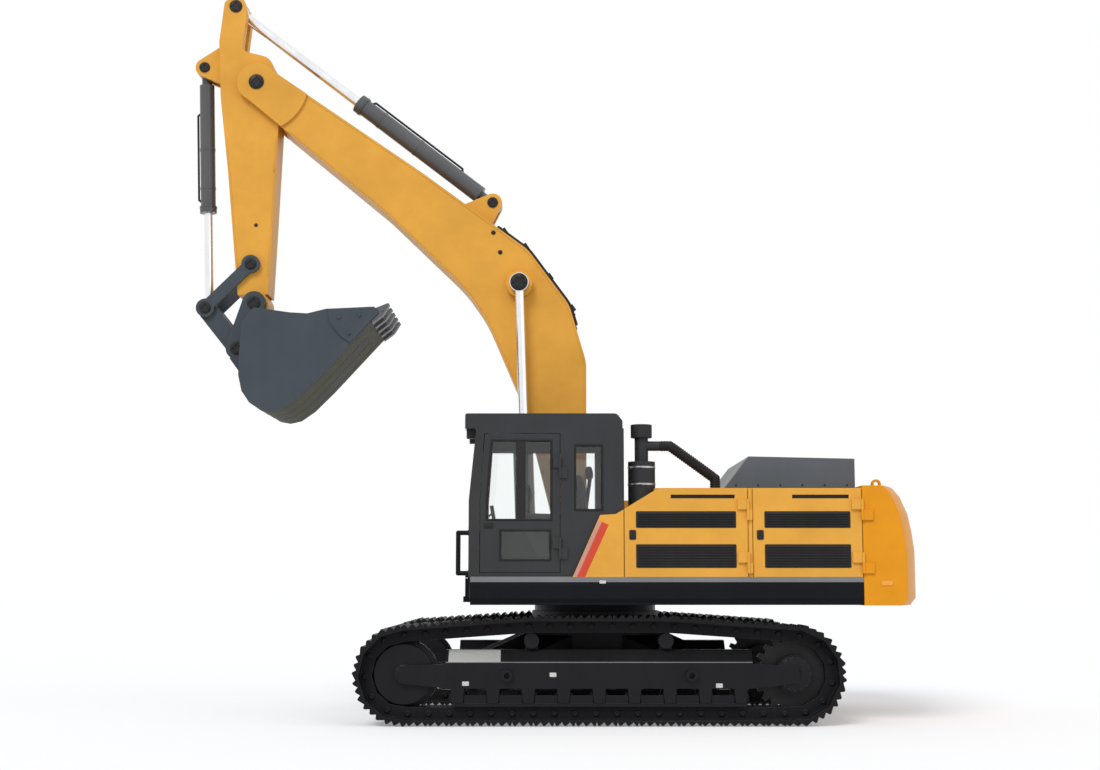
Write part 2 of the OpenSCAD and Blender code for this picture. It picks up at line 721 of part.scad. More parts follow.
module sprockets() {
  color(bare_steel)
    for (side = [-1, 1])
      plate_across(side * track_half - 0.6 * rail_inner, side * track_half + 0.6 * rail_inner)
        translate([-wheel_half, axle_height])
          difference() {
            polygon([for (i = [0:sprocket_teeth - 1]) for (step = tooth_step_shares)
              sprocket_radius * step.y * [cos((i + step.x) * 360 / sprocket_teeth),
                sin((i + step.x) * 360 / sprocket_teeth)]]);
            circle(r = 0.8 * drive_radius);
          }
}

module final_drives() {
  color(paint_black)
    for (side = [-1, 1])
      turned_across([-wheel_half, axle_height], side * track_half - roller_cap)
        square([0.8 * drive_radius, 2 * roller_cap]);
}

// Eyes that a lashing chain hooks into, two on the outside of each track frame
module lashing_eyes() {
  color(paint_black)
    for (side = [-1, 1])
      for (end = [-1, 1])
        plate_across(side > 0 ? track_half + frame_half : -track_half - frame_half - lug_radius,
          side > 0 ? track_half + frame_half + lug_radius : -track_half - frame_half)
          translate([end * 0.6 * frame_half_length, eye_height])
            difference() {
              circle(r = lug_radius);
              circle(r = lug_bore);
            }
}

// Upright eyes under the front and rear of the car body for a tow shackle
module tow_eyes() {
  color(paint_black)
    for (end = [-1, 1])
      translate([end * (body_half + lug_radius), 0, body_bottom + 0.1 * body_half])
        linear_extrude(0.8 * lug_radius)
          difference() {
            union() {
              circle(r = lug_radius);
              translate([end > 0 ? -lug_radius : 0, -lug_radius])
                square([lug_radius, 2 * lug_radius]);
            }
            circle(r = lug_bore);
          }
}

// Welded box under the swing bearing with four sloping legs to the track frames
module car_body() {
  leg_top = 0.97 * frame_shoulder;
  leg_thin = 0.1 * leg_width;
  color(paint_black) {
    box_between([-body_half, -body_half, body_bottom], [body_half, body_half, body_top]);
    for (side = [-1, 1])
      for (end = [-1, 1])
        hull() {
          translate([end * leg_reach - 0.5 * leg_width,
            side > 0 ? track_half - frame_half - leg_thin : frame_half - track_half, 1.1 * frame_bottom])
            cube([leg_width, leg_thin, leg_top - 1.1 * frame_bottom]);
          translate([end * 0.6 * body_half - 0.5 * leg_width, side > 0 ? 0.8 * body_half : -0.9 * body_half,
            body_bottom])
            cube([leg_width, 0.1 * body_half, 0.95 * (body_top - body_bottom)]);
        }
    translate([0, 0, body_top])
      cylinder(r = 0.92 * race_radius, h = 0.5 * (race_top - body_top));
  }
}

module swing_bearing() {
  color(bare_steel)
    translate([0, 0, body_top + 0.5 * (race_top - body_top)])
      difference() {
        cylinder(r = race_radius, h = 0.5 * (race_top - body_top));
        translate([0, 0, -overrun])
          cylinder(r = 0.75 * race_radius, h = race_top - body_top);
      }
}

// Outline of a boom bracket: foot boss, back edge and the lugs of the boom cylinder's base
module bracket_outline() {
  polygon([[-1.6 * boom_foot_x, deck_bottom], [nose_front, deck_bottom],
    [boom_base_x + 1.1 * eye_radius, boom_base_z],
    [boom_base_x - 1.2 * eye_radius, boom_base_z + 0.4 * eye_radius],
    [boom_foot_x + 0.95 * pivot_boss_radius, boom_foot_z - 0.3 * pivot_boss_radius],
    [boom_foot_x - 0.7 * pivot_boss_radius, boom_foot_z + 0.6 * pivot_boss_radius]]);
  translate(boom_foot)
    circle(r = pivot_boss_radius);
  translate(boom_base_pin)
    circle(r = 1.1 * eye_radius);
}

module revolving_frame() {
  color(paint_grey) {
    box_between([-weight_front, -panel_inner, deck_bottom], [nose_front, panel_inner, deck_top]);
    box_between([0.9 * nose_front, cab_right, deck_bottom], [deck_front, panel_inner, deck_top]);
    box_between([0.9 * nose_front, -panel_inner, deck_bottom], [step_front, -cab_right, deck_top]);
    for (side = [-1, 1])
      translate([-weight_front, side > 0 ? deck_half - beam_width : beam_width - deck_half, 0])
        rotate([90, 0, 90])
          linear_extrude(weight_front + (side > 0 ? deck_front : step_front))
            polygon([[side * -0.5 * beam_width, deck_bottom], [side * 0.7 * beam_width, deck_bottom],
              [side * beam_width, deck_bottom + 0.25 * (beam_top - deck_bottom)],
              [side * beam_width, deck_bottom + 0.75 * (beam_top - deck_bottom)],
              [side * 0.9 * beam_width, beam_top], [side * -0.5 * beam_width, beam_top]]);
    plate_pair(bracket_inner, bracket_outer)
      bracket_outline();
    plate_pair(lug_inner, lug_outer)
      polygon([[boom_base_x - 1.6 * eye_radius, deck_bottom], [nose_front, deck_bottom],
        [boom_base_x + 1.1 * eye_radius, boom_base_z + 0.3 * eye_radius],
        [boom_base_x + 0.5 * eye_radius, boom_base_z + 0.95 * eye_radius],
        [boom_base_x - 0.5 * eye_radius, boom_base_z + 0.95 * eye_radius],
        [boom_base_x - 1.1 * eye_radius, boom_base_z + 0.3 * eye_radius]]);
    bar_across(boom_foot, pivot_pin_radius, -bracket_outer, bracket_outer);
    for (side = [-1, 1])
      bar_across(boom_base_pin, cylinder_pin_radius, side > 0 ? bracket_inner : -lug_outer,
        side > 0 ? lug_outer : -bracket_inner);
    translate([0, 0, race_top + bearing_gap])
      cylinder(r = 0.96 * race_radius, h = deck_bottom + overrun - race_top - bearing_gap);
  }
}

module counterweight() {
  color(paint_yellow) {
    intersection() {
      translate([0, 0, weight_bottom])
        rotate([0, 0, 180 - 0.5 * weight_sweep])
          rotate_extrude(angle = weight_sweep)
            polygon([for (share = weight_shares) [share.x * tail_radius, share.y * weight_height]]);
      translate([0, 0, weight_bottom - overrun])
        linear_extrude(weight_height + 2 * overrun)
          polygon(rounded([[-weight_front, -deck_half], [-weight_front, deck_half],
            [-0.93 * tail_radius, deck_half], [-1.1 * tail_radius, 0.5 * deck_half],
            [-1.1 * tail_radius, -0.5 * deck_half], [-0.93 * tail_radius, -deck_half]],
            [0, 0, 0.1 * deck_half, 0, 0, 0.1 * deck_half], 6));
    }
    hinge_row(door_two_axis, true, -weight_front - hinge_leaf, deck_half - seam_gap);
    hinge_row(right_door_axis, true, -weight_front - hinge_leaf, seam_gap - deck_half);
    for (side = [-1, 1])
      translate([0, side * 0.6 * hood_half, 0]) {
        bar_across(hood_axis, hinge_radius, -0.5 * hood_leaf, -bearing_gap);
        box_between([hood_axis.x - hinge_radius, -0.5 * hood_leaf, weight_top - seam_gap],
          [hood_axis.x + hinge_radius, -bearing_gap, hood_axis.y]);
      }
  }
}

module lifting_eyes() {
  color(paint_yellow)
    for (side = [-1, 1])
      plate_across(side * eye_station - 0.4 * lift_eye_radius, side * eye_station + 0.4 * lift_eye_radius)
        translate([-0.5 * (weight_front + 0.94 * tail_radius), weight_top])
          difference() {
            union() {
              translate([0, lift_eye_radius])
                circle(r = lift_eye_radius);
              translate([-lift_eye_radius, 0])
                square([2 * lift_eye_radius, lift_eye_radius]);
            }
            translate([0, lift_eye_radius])
              circle(r = 0.5 * lift_eye_radius);
          }
}

module engine() {
  color(paint_grey)
    box_between([-0.96 * weight_front, -0.45 * deck_half, deck_top],
      [-0.62 * weight_front, 0.45 * deck_half, 0.97 * housing_top]);
}

module side_outline() {
  polygon(concat(side_slope, [[-weight_front + seam_gap, housing_top],
    [-weight_front + seam_gap, panel_bottom]]));
}

// Part of the side outline between two seams
module side_between(rear, front) {
  intersection() {
    side_outline();
    translate([rear, 0])
      square([front - rear, 2 * housing_top]);
  }
}

// A row of slots with slats left standing
module louvre_row(rear, front, bottom, height) {
  for (i = [0:slat_count - 1])
    translate([rear, bottom + i * height / slat_count])
      square([front - rear, 0.55 * height / slat_count]);
}

// Door between two seams with its louvres and pull slot cut
module louvred_outline(rear, front, inset) {
  difference() {
    side_between(rear, front);
    louvre_row(rear + inset, front - inset, upper_louvre_bottom, upper_louvre_height);
    louvre_row(rear + inset, front - inset, lower_louvre_bottom, lower_louvre_height);
    translate([rear + inset, pull_slot_bottom])
      square([0.52 * (front - rear), pull_slot_height]);
  }
}

module front_cover() {
  color(paint_yellow) {
    plate_across(panel_inner, deck_half) {
      side_between(-front_seam + 0.5 * seam_gap, cab_front);
      polygon([[-front_seam + 0.5 * seam_gap, beam_top], side_slope[0] - [0, panel_bottom - beam_top],
        side_slope[0],
        [-front_seam + 0.5 * seam_gap, panel_bottom]]);
    }
    plate_across(cab_right, frame_inner)
      polygon([slope_front, slope_rear, slope_rear - [0, panel_thickness],
        slope_front - [0, panel_thickness]]);
  }
}

// Half of a lift-off hinge: a barrel on the axis and a leaf back to its panel
module hinge_half(axis, low, high, leaf_x, leaf_y) {
  translate([axis.x, axis.y, low])
    cylinder(r = hinge_radius, h = high - low);
  box_between([min(axis.x, leaf_x), min(axis.y, leaf_y), low],
    [max(axis.x, leaf_x), max(axis.y, leaf_y), high]);
}

// Fixed halves stand below, the door's halves sit on them
module hinge_row(axis, fixed, leaf_x, leaf_y) {
  for (z = hinge_heights)
    hinge_half(axis, fixed ? z - hinge_leaf : z + bearing_gap, fixed ? z : z + hinge_leaf, leaf_x, leaf_y);
}

// A louvred door on one side of the housing, hung at its rear edge
module side_door(side, rear, front, inset, axis) {
  color(paint_yellow) {
    plate_across(side > 0 ? panel_inner : -deck_half, side > 0 ? deck_half : -panel_inner)
      louvred_outline(rear, front, inset);
    hinge_row(axis, false, axis.x + hinge_leaf, side * deck_half);
  }
}

module left_door_front() {
  side_door(1, door_one_rear, door_one_front, 1.2 * beam_width, door_one_axis);
}

module left_door_rear() {
  side_door(1, door_two_rear, door_two_front, 1.2 * beam_width, door_two_axis);
}

module right_door() {
  side_door(-1, door_two_rear, right_door_front - seam_gap, 1.6 * beam_width, right_door_axis);
}

// Posts and top sheet that the doors and the hood close against
module housing_frame() {
  top_low = housing_top - panel_thickness;
  color(paint_yellow) {
    difference() {
      box_between([-weight_front, -frame_inner, top_low], [-firewall_offset, frame_inner, housing_top]);
      box_between([-0.97 * weight_front, -0.9 * hood_half, top_low - overrun],
        [-1.08 * hood_front, 0.9 * hood_half, housing_top + overrun]);
    }
    box_between([-firewall_offset - panel_thickness, tank_inner, deck_top],
      [-firewall_offset, beam_inner, top_low]);
    box_between([-firewall_offset - panel_thickness, tank_inner, beam_top],
      [-firewall_offset, frame_inner, top_low]);
    box_between([-middle_seam - hinge_post, frame_inner - hinge_post, beam_top],
      [hinge_post - middle_seam, frame_inner, top_low]);
    box_between([-middle_seam - post_half, frame_inner - hinge_post, panel_bottom],
      [post_half - middle_seam, deck_half, housing_top]);
    hinge_row(door_one_axis, true, -middle_seam - post_half, deck_half);
    difference() {
      box_between([-0.98 * weight_front, -0.95 * hood_half, top_low],
        [-1.06 * hood_front, 0.95 * hood_half, weight_top]);
      box_between([-0.97 * weight_front, -0.9 * hood_half, top_low - overrun],
        [-1.08 * hood_front, 0.9 * hood_half, weight_top + overrun]);
    }
    box_between([right_door_front - hinge_post, -frame_inner, beam_top],
      [right_door_front, hinge_post - frame_inner, top_low]);
  }
}

module engine_hood() {
  color(paint_grey) {
    difference() {
      plate_across(-hood_half, hood_half)
        polygon([[-hood_rear, hood_seat], [-hood_front, hood_seat], [-1.19 * hood_front, hood_top],
          [-hood_rear, hood_top - hood_sheet]]);
      plate_across(hood_sheet - hood_half, hood_half - hood_sheet)
        polygon([[hood_sheet - hood_rear, hood_seat - overrun],
          [-hood_front - 2 * hood_sheet, hood_seat - overrun],
          [-1.19 * hood_front - hood_sheet, hood_top - hood_sheet],
            [hood_sheet - hood_rear, hood_top - 2 * hood_sheet]]);
    }
    for (side = [-1, 1])
      translate([0, side * 0.6 * hood_half, 0]) {
        bar_across(hood_axis, hinge_radius, 0, hood_leaf);
        box_between([hood_axis.x, 0, hood_axis.y - 0.5 * hinge_radius],
          [-hood_rear, hood_leaf, hood_axis.y + hinge_radius]);
      }
  }
}

module fuel_tank() {
  color(paint_yellow)
    box_between([-0.1 * cab_front, -deck_half, beam_top], [tank_front, tank_inner, 0.92 * housing_top]);
}

module hydraulic_tank() {
  color(paint_yellow)
    box_between([right_door_front, -deck_half, beam_top],
      [-0.11 * cab_front, tank_inner, housing_top - panel_thickness]);
}

// Open box under the right-hand step
module tool_box() {
  color(paint_grey) {
    difference() {
      box_between([box_rear, -beam_inner, deck_top], [box_front, box_inner, box_top]);
      box_between([box_rear + box_sheet, -beam_inner + box_sheet, deck_top + box_sheet],
        [box_front - box_sheet, box_inner - box_sheet, box_top + overrun]);
    }
    for (side = [-1, 1])
      translate([0, box_middle + side * 1.1 * lid_leaf, 0]) {
        bar_across(lid_axis, hinge_radius, -lid_leaf, -bearing_gap);
        box_between([lid_axis.x - hinge_radius, -lid_leaf, box_top - 2 * hinge_radius],
          [box_rear, -bearing_gap, box_top - 0.5 * hinge_radius]);
        box_between([lid_axis.x - hinge_radius, -lid_leaf, box_top - 2 * hinge_radius],
          [lid_axis.x + hinge_radius, -bearing_gap, lid_axis.y]);
      }
  }
}

module tool_box_lid() {
  color(paint_grey) {
    box_between([box_rear, -beam_inner, box_top + running_gap], [box_front, box_inner, lid_top]);
    for (side = [-1, 1])
      translate([0, box_middle + side * 1.1 * lid_leaf, 0]) {
        bar_across(lid_axis, hinge_radius, 0, lid_leaf);
        box_between([lid_axis.x, 0, lid_axis.y], [box_rear + box_sheet, lid_leaf,
          lid_axis.y + hinge_radius]);
      }
  }
}

module air_cleaner() {
  color(paint_black)
    difference() {
      union() {
        translate([-canister_offset, canister_side, 0]) {
          cylinder_from(0.9 * housing_top, canister_top, canister_radius);
          cylinder_from(canister_top - overrun, cap_top, 0.5 * canister_radius);
          cylinder_from(canister_top + 0.65 * (cap_top - canister_top), cap_top, 0.5 * cap_diameter);
        }
        bar_between([outlet_end, canister_side, outlet_height],
          [-canister_offset, canister_side, outlet_height], duct_radius);
      }
      plate_across(0, deck_half)
        polygon([slope_front, [slope_front.x + canister_diameter, slope_front.y],
          [slope_front.x + canister_diameter, 0],
          [-2 * firewall_offset, 0], [-2 * firewall_offset, housing_top],
            [-firewall_offset, housing_top], slope_rear]);
    }
}

module intake_duct() {
  color(trim_black)
    bent_tube(duct_points, duct_radius);
}

module exhaust_pipe() {
  color(paint_black)
    translate([-1.12 * middle_seam, -0.8 * deck_half, housing_top])
      cylinder(r = duct_radius, h = 0.12 * housing_top);
}

module handrails() {
  color(trim_black) {
    bent_tube([[0.983 * step_front, rail_station, beam_top], [0.983 * step_front, rail_station, rail_top],
      [tank_front, rail_station, rail_top]], rail_radius);
    bent_tube([[cab_front, grab_station, grab_low], [grab_front, grab_station, grab_low],
      [grab_front, grab_station, grab_high], [cab_front, grab_station, grab_high]], 1.4 * rail_radius);
  }
}

// Outline of a cab side
module cab_side_outline() {
  polygon([[-cab_rear, wall_low], [cab_front, wall_low], [cab_front, lean_start],
    [lean_front, cab_wall_top],
    [-cab_rear, cab_wall_top]]);
}

module quarter_outline() {
  polygon([[quarter_rear, quarter_low], [quarter_front, quarter_low], [quarter_front, quarter_high],
    [quarter_rear, quarter_high]]);
}

module side_window_outline() {
  polygon([[0, 0.66 * cab_wall_top], [0.88 * cab_front, 0.66 * cab_wall_top],
    [0.88 * cab_front, lean_start],
    [0.9 * lean_front, quarter_high], [0, quarter_high]]);
}

module cab_floor() {
  color(paint_grey)
    box_between([-cab_rear, cab_right, cab_floor_bottom], [cab_front, beam_inner, wall_low]);
  color(paint_grey)
    box_between([cab_wall - cab_rear, cab_inner_right, wall_low],
      [cab_front - cab_wall, cab_inner_left, cab_floor_top]);
}

module cab_hinges(fixed) {
  for (z = cab_hinge_heights)
    hinge_half(cab_hinge_axis, fixed ? z - hinge_leaf : z + bearing_gap, fixed ? z : z + hinge_leaf,
      cab_hinge_axis.x + (fixed ? -0.7 : 0.7) * hinge_leaf, cab_left);
}

module cab_left_wall() {
  color(paint_grey) {
    plate_across(cab_inner_left, cab_left)
      difference() {
        cab_side_outline();
        offset(delta = running_gap)
          polygon(door_outline_points);
        quarter_outline();
      }
    cab_hinges(true);
  }
}

module cab_right_wall() {
  color(paint_grey)
    plate_across(cab_right, cab_inner_right)
      difference() {
        cab_side_outline();
        side_window_outline();
      }
}

module cab_rear_wall() {
  color(paint_grey)
    difference() {
      box_between([-cab_rear, cab_inner_right, wall_low],
        [cab_wall - cab_rear, cab_inner_left, cab_wall_top]);
      box_between([-2 * cab_rear, cab_inner_right + cab_wall, quarter_low],
        [cab_rear, cab_inner_left - cab_wall, quarter_high]);
    }
}

// Sill, middle rail and header between the side walls
module cab_front_frame() {
  color(paint_grey)
    plate_across(cab_inner_right, cab_inner_left) {
      polygon([[cab_front - cab_wall, wall_low], [cab_front, wall_low], [cab_front, sill_high],
        [cab_front - cab_wall, sill_high]]);
      polygon([[cab_front - cab_wall, lean_start - cab_wall], [cab_front, lean_start - cab_wall],
        [cab_front, lean_start],
        [cab_front - cab_wall, lean_start]]);
      polygon([[lean_front - cab_wall, cab_wall_top], [lean_front, cab_wall_top],
        [lean_front + 0.15 * cab_wall, header_low], [lean_front - 0.9 * cab_wall, header_low]]);
    }
}

module cab_roof() {
  color(paint_grey)
    plate_across(cab_right, cab_left)
      polygon(rounded([[-roof_rear - cab_wall, cab_wall_top], [roof_front, cab_wall_top],
        [roof_front, roof_top], [-roof_rear, roof_top], [-roof_rear - cab_wall, roof_mid]],
        [0, 0, 0.4 * cab_wall, cab_wall, 0.5 * cab_wall], 4));
}

module cab_glass() {
  color(tinted_glass) {
    plate_across(cab_left - pane_set - pane_thickness, cab_left - pane_set)
      quarter_outline();
    plate_across(cab_right + pane_set, cab_right + pane_set + pane_thickness)
      side_window_outline();
    box_between([pane_set - cab_rear, cab_inner_right + cab_wall, quarter_low],
      [pane_set + pane_thickness - cab_rear, cab_inner_left - cab_wall, quarter_high]);
    plate_across(cab_inner_right, cab_inner_left) {
      translate([cab_front - pane_set - pane_thickness, sill_high])
        square([pane_thickness, lean_start - cab_wall - sill_high]);
      polygon([[cab_front - pane_set - pane_thickness, lean_start], [cab_front - pane_set, lean_start],
        [lean_front - pane_set + 0.15 * cab_wall, header_low],
        [lean_front - pane_set - pane_thickness + 0.15 * cab_wall, header_low]]);
    }
  }
}

module upper_door_pane() {
  polygon([[door_glass_rear, door_glass_low], [door_glass_front, door_glass_low],
    [door_glass_front, lean_start],
    [door_glass_front - 0.04 * door_front, door_glass_high], [door_glass_rear, door_glass_high]]);
}

module lower_door_pane() {
  polygon([[1.25 * door_rear, 0.561 * door_top], [0.83 * door_front, 0.561 * door_top],
    [0.83 * door_front, 0.664 * door_top],
    [1.25 * door_rear, 0.664 * door_top]]);
}

module cab_door() {
  color(paint_grey) {
    plate_across(cab_left - door_leaf, cab_left)
      difference() {
        polygon(door_outline_points);
        upper_door_pane();
        lower_door_pane();
      }
    cab_hinges(false);
  }
}

module door_glass() {
  color(tinted_glass)
    plate_across(cab_left - 0.5 * door_leaf, cab_left - 0.5 * door_leaf + pane_thickness) {
      upper_door_pane();
      lower_door_pane();
    }
}

module operator_chair() {
  color(trim_black)
    plate_across(chair_middle - chair_half, chair_middle + chair_half)
      polygon(rounded([[chair_rear, cab_floor_top], [0.8 * chair_front, cab_floor_top],
        [chair_front, 0.95 * cushion_top],
        [chair_front, cushion_top], [1.9 * chair_rear, 0.985 * cushion_top],
          [0.6 * chair_rear, 0.9 * door_top],
        [-0.4 * chair_rear, 0.9 * door_top], [0.3 * chair_rear, 0.9 * cushion_top]],
        [0, 0, 0, 0.4 * chair_rear, 0.4 * chair_rear, 0.3 * chair_rear, 0.3 * chair_rear, 0], 4));
}

module consoles() {
  color(trim_black)
    for (side = [-1, 1])
      translate([0, chair_middle + side * (chair_half + console_half + running_gap), 0]) {
        plate_across(-console_half, console_half)
          polygon([[chair_rear, cab_floor_top], [0.75 * chair_front, cab_floor_top],
            [1.1 * chair_front, 1.02 * cushion_top], [1.1 * chair_front, 1.07 * cushion_top],
            [chair_rear, 1.06 * cushion_top]]);
        translate([chair_front, 0, 1.05 * cushion_top])
          cylinder(r = lever_radius, h = 0.14 * cushion_top);
      }
}

// Lamps hung under the front of the roof
module work_lamps() {
  color(trim_black)
    for (y = [cab_right + 2 * cab_wall, cab_left - 2 * cab_wall - lamp_size])
      box_between([lean_front + 0.25 * cab_wall, y, cab_wall_top - lamp_size],
        [roof_front - 0.2 * cab_wall, y + lamp_size, cab_wall_top]);
}

module boom_outline() {
  polygon(rounded(boom_points(boom_shares), [for (share = boom_bend_shares) share * bend_radius], 6));
}

module boom() {
  color(paint_yellow)
    difference() {
      union() {
        plate_across(-boom_half, boom_half)
          boom_outline();
        plate_pair(fork_inner, boss_half)
          intersection() {
            boom_outline();
            translate(boom_tip)
              circle(r = 3.2 * pivot_boss_radius);
          }
        bar_across(boom_foot, pivot_boss_radius, -boss_half, boss_half);
        bar_across(boom_tip, 1.2 * pivot_boss_radius, -boss_half, boss_half);
        bar_across(boom_rod_pin, 1.4 * eye_radius, -(boom_eye_inner - running_gap),
          boom_eye_inner - running_gap);
        plate_pair(lug_half - bracket_plate, lug_half)
          arm_lug_outline();
      }
      bar_across(boom_foot, pivot_bore_radius, -boom_width, boom_width);
      plate_across(-fork_inner, fork_inner) {
        translate(boom_tip)
          circle(r = tip_slot_depth);
        polygon(boom_points(belly_slot_shares));
      }
    }
  color(paint_yellow) {
    bar_across(boom_tip, pivot_pin_radius, -boss_half, boss_half);
    bar_across(arm_base_pin, cylinder_pin_radius, -lug_half, lug_half);
  }
}

module arm_lug_outline() {
  hull() {
    translate(arm_base_pin)
      circle(r = eye_radius);
    translate(arm_base_pin - 2.6 * eye_radius * boom_up - 1.4 * eye_radius * boom_along)
      circle(r = eye_radius);
    translate(arm_base_pin - 2.8 * eye_radius * boom_up + 0.6 * eye_radius * boom_along)
      circle(r = eye_radius);
  }
}

module boom_pipes() {
  color(trim_black)
    for (side = [-1, 1])
      plate_across(side * 0.35 * boom_width - rail_radius, side * 0.35 * boom_width + rail_radius)
        difference() {
          intersection() {
            offset(r = 2 * rail_radius)
              boom_outline();
            polygon(boom_points(pipe_span_shares));
          }
          boom_outline();
        }
}

// A barrel whose base eye sits at pin p, pointing at q; bored for its rod
module barrel(p, q, station, radius, rod_radius, length, width) {
  translate([p.x, station, p.y])
    rotate([0, 90 - level_angle(p, q), 0])
      difference() {
        union() {
          cylinder_from(0, 1.9 * eye_radius, 0.48 * width);
          cylinder_from(1.75 * eye_radius, length, radius);
          cylinder_from(length - 0.9 * radius, length, 1.14 * radius);
          rotate([90, 0, 0])
            translate([0, 0, -0.5 * width])
              cylinder(r = eye_radius, h = width);
        }
        cylinder_from(2 * eye_radius, length + overrun, rod_radius + bearing_gap);
        rotate([90, 0, 0])
          translate([0, 0, -width])
            cylinder(r = cylinder_bore_radius, h = 2 * width);
      }
}

// Upright round bar between two heights
module cylinder_from(low, high, radius) {
  translate([0, 0, low])
    cylinder(r = radius, h = high - low);
}

// A rod whose eye sits at pin q, running back toward pin p and starting at a distance from it
module rod(p, q, station, radius, start, width) {
  span = norm(q - p);
  translate([p.x, station, p.y])
    rotate([0, 90 - level_angle(p, q), 0]) {
      cylinder_from(start, span - 0.6 * eye_radius, radius);
      translate([0, 0, span])
        rotate([90, 0, 0])
          translate([0, 0, -0.5 * width])
            cylinder(r = eye_radius, h = width);
    }
}

module boom_barrel(side) {
  color(paint_grey)
    barrel(boom_base_pin, boom_rod_pin, side * boom_cylinder_offset, boom_barrel_radius, boom_rod_radius,
      boom_barrel_length, boom_eye_width);
}

module boom_barrel_left() {
  boom_barrel(1);
}

module boom_barrel_right() {
  boom_barrel(-1);
}

module boom_rod(side) {
  color(bare_steel)
    rod(boom_base_pin, boom_rod_pin, side * boom_cylinder_offset, boom_rod_radius,
      0.74 * boom_barrel_length, boom_eye_width);
}

module boom_rod_left() {
  boom_rod(1);
}

module boom_rod_right() {
  boom_rod(-1);
}

module arm_barrel() {
  color(paint_grey)
    barrel(arm_base_pin, arm_rod_pin, 0, arm_barrel_radius, arm_rod_radius, arm_barrel_length, eye_width);
}

module arm_rod() {
  color(bare_steel)
    rod(arm_base_pin, arm_rod_pin, 0, arm_rod_radius, 0.95 * arm_barrel_length, eye_width);
}

module stick_outline() {
  polygon(rounded(stick_points(stick_shares),
    [for (share = stick_bend_shares) share * stick_bend_radius], 5));
}

module stick() {
  color(paint_yellow) {
    difference() {
      union() {
        plate_across(-stick_half, stick_half)
          stick_outline();
        bar_across(boom_tip, pivot_boss_radius, -stick_boss_half, stick_boss_half);
        bar_across(bucket_pin, 0.8 * pivot_boss_radius, -stick_boss_half, stick_boss_half);
        bar_across(rocker_pin, link_boss_radius, -stick_boss_half, stick_boss_half);
        plate_pair(lug_half - bracket_plate, lug_half)
          bucket_lug_outline();
      }
      bar_across(boom_tip, pivot_bore_radius, -stick_width, stick_width);
      bar_across(bucket_pin, pivot_bore_radius, -stick_width, stick_width);
      bar_across(rocker_pin, link_bore_radius, -stick_width, stick_width);
      plate_across(-0.5 * tail_slot, 0.5 * tail_slot)
        polygon(stick_points(tail_slot_shares));
    }
    bar_across(bucket_base_pin, cylinder_pin_radius, -lug_half, lug_half);
  }
}

module bucket_lug_outline() {
  hull() {
    for (share = bucket_lug_shares)
      translate(stick_point(share))
        circle(r = eye_radius);
  }
}

module bucket_barrel() {
  color(paint_grey)
    barrel(bucket_base_pin, knee_pin, 0, bucket_barrel_radius, bucket_rod_radius, bucket_barrel_length,
      eye_width);
}

module bucket_rod() {
  color(bare_steel)
    rod(bucket_base_pin, knee_pin, 0, bucket_rod_radius, 0.74 * bucket_barrel_length, eye_width);
}

module rockers() {
  color(paint_blue_grey) {
    plate_pair(rocker_inner, rocker_inner + rocker_plate) {
      strap_outline(rocker_pin, knee_pin, 0.65 * link_boss_radius, 0.65 * link_boss_radius);
      for (pin = [rocker_pin, knee_pin])
        translate(pin)
          circle(r = link_boss_radius);
    }
    bar_across(rocker_pin, link_pin_radius, -rocker_inner - rocker_plate, rocker_inner + rocker_plate);
  }
}

module bucket_link() {
  color(paint_blue_grey)
    difference() {
      union() {
        plate_pair(link_inner, stick_boss_half)
          strap_outline(link_pin, knee_pin, link_boss_radius, link_boss_radius);
        bar_across(link_pin, link_boss_radius, -stick_boss_half, stick_boss_half);
      }
      bar_across(link_pin, link_bore_radius, -stick_width, stick_width);
    }
}

module bucket_outline() {
  polygon(bucket_points(bucket_shares));
}

module bucket() {
  color(paint_blue_grey) {
    plate_across(-bucket_half, bucket_half)
      difference() {
        bucket_outline();
        polygon(bucket_points(bucket_inner_shares));
      }
    plate_pair(bucket_half - side_plate_thickness, bucket_half)
      bucket_outline();
    plate_pair(rocker_inner, ear_outer)
      union() {
        strap_outline(bucket_pin, link_pin, 0.7 * pivot_boss_radius, 1.2 * link_boss_radius);
        polygon(bucket_points(ear_shares));
      }
    bar_across(bucket_pin, pivot_pin_radius, -ear_outer, ear_outer);
    bar_across(link_pin, link_pin_radius, -ear_outer, ear_outer);
  }
}

module bucket_teeth() {
  color(bare_steel)
    for (i = [0:tooth_count - 1])
      translate([0, (i / (tooth_count - 1) - 0.5) * (bucket_width - tooth_width), 0])
        plate_across(-0.5 * tooth_width, 0.5 * tooth_width)
          difference() {
            polygon(bucket_points(tooth_shares));
            bucket_outline();
          }
}

car_body();
swing_bearing();
track_frame_left();
track_frame_right();
track_left();
track_right();
sprockets();
final_drives();
idlers();
lower_rollers();
carrier_rollers();
lashing_eyes();
tow_eyes();
revolving_frame();
counterweight();
lifting_eyes();
engine();
front_cover();
housing_frame();
left_door_front();
left_door_rear();
right_door();
engine_hood();
fuel_tank();
hydraulic_tank();
tool_box();
tool_box_lid();
air_cleaner();
intake_duct();
exhaust_pipe();
handrails();
cab_floor();
cab_left_wall();
cab_right_wall();
cab_rear_wall();
cab_front_frame();
cab_roof();
cab_glass();
cab_door();
door_glass();
operator_chair();
consoles();
work_lamps();
boom();
boom_pipes();
boom_barrel_left();
boom_barrel_right();
boom_rod_left();
boom_rod_right();
arm_barrel();
arm_rod();
stick();
bucket_barrel();
bucket_rod();
rockers();
bucket_link();
bucket();
bucket_teeth();
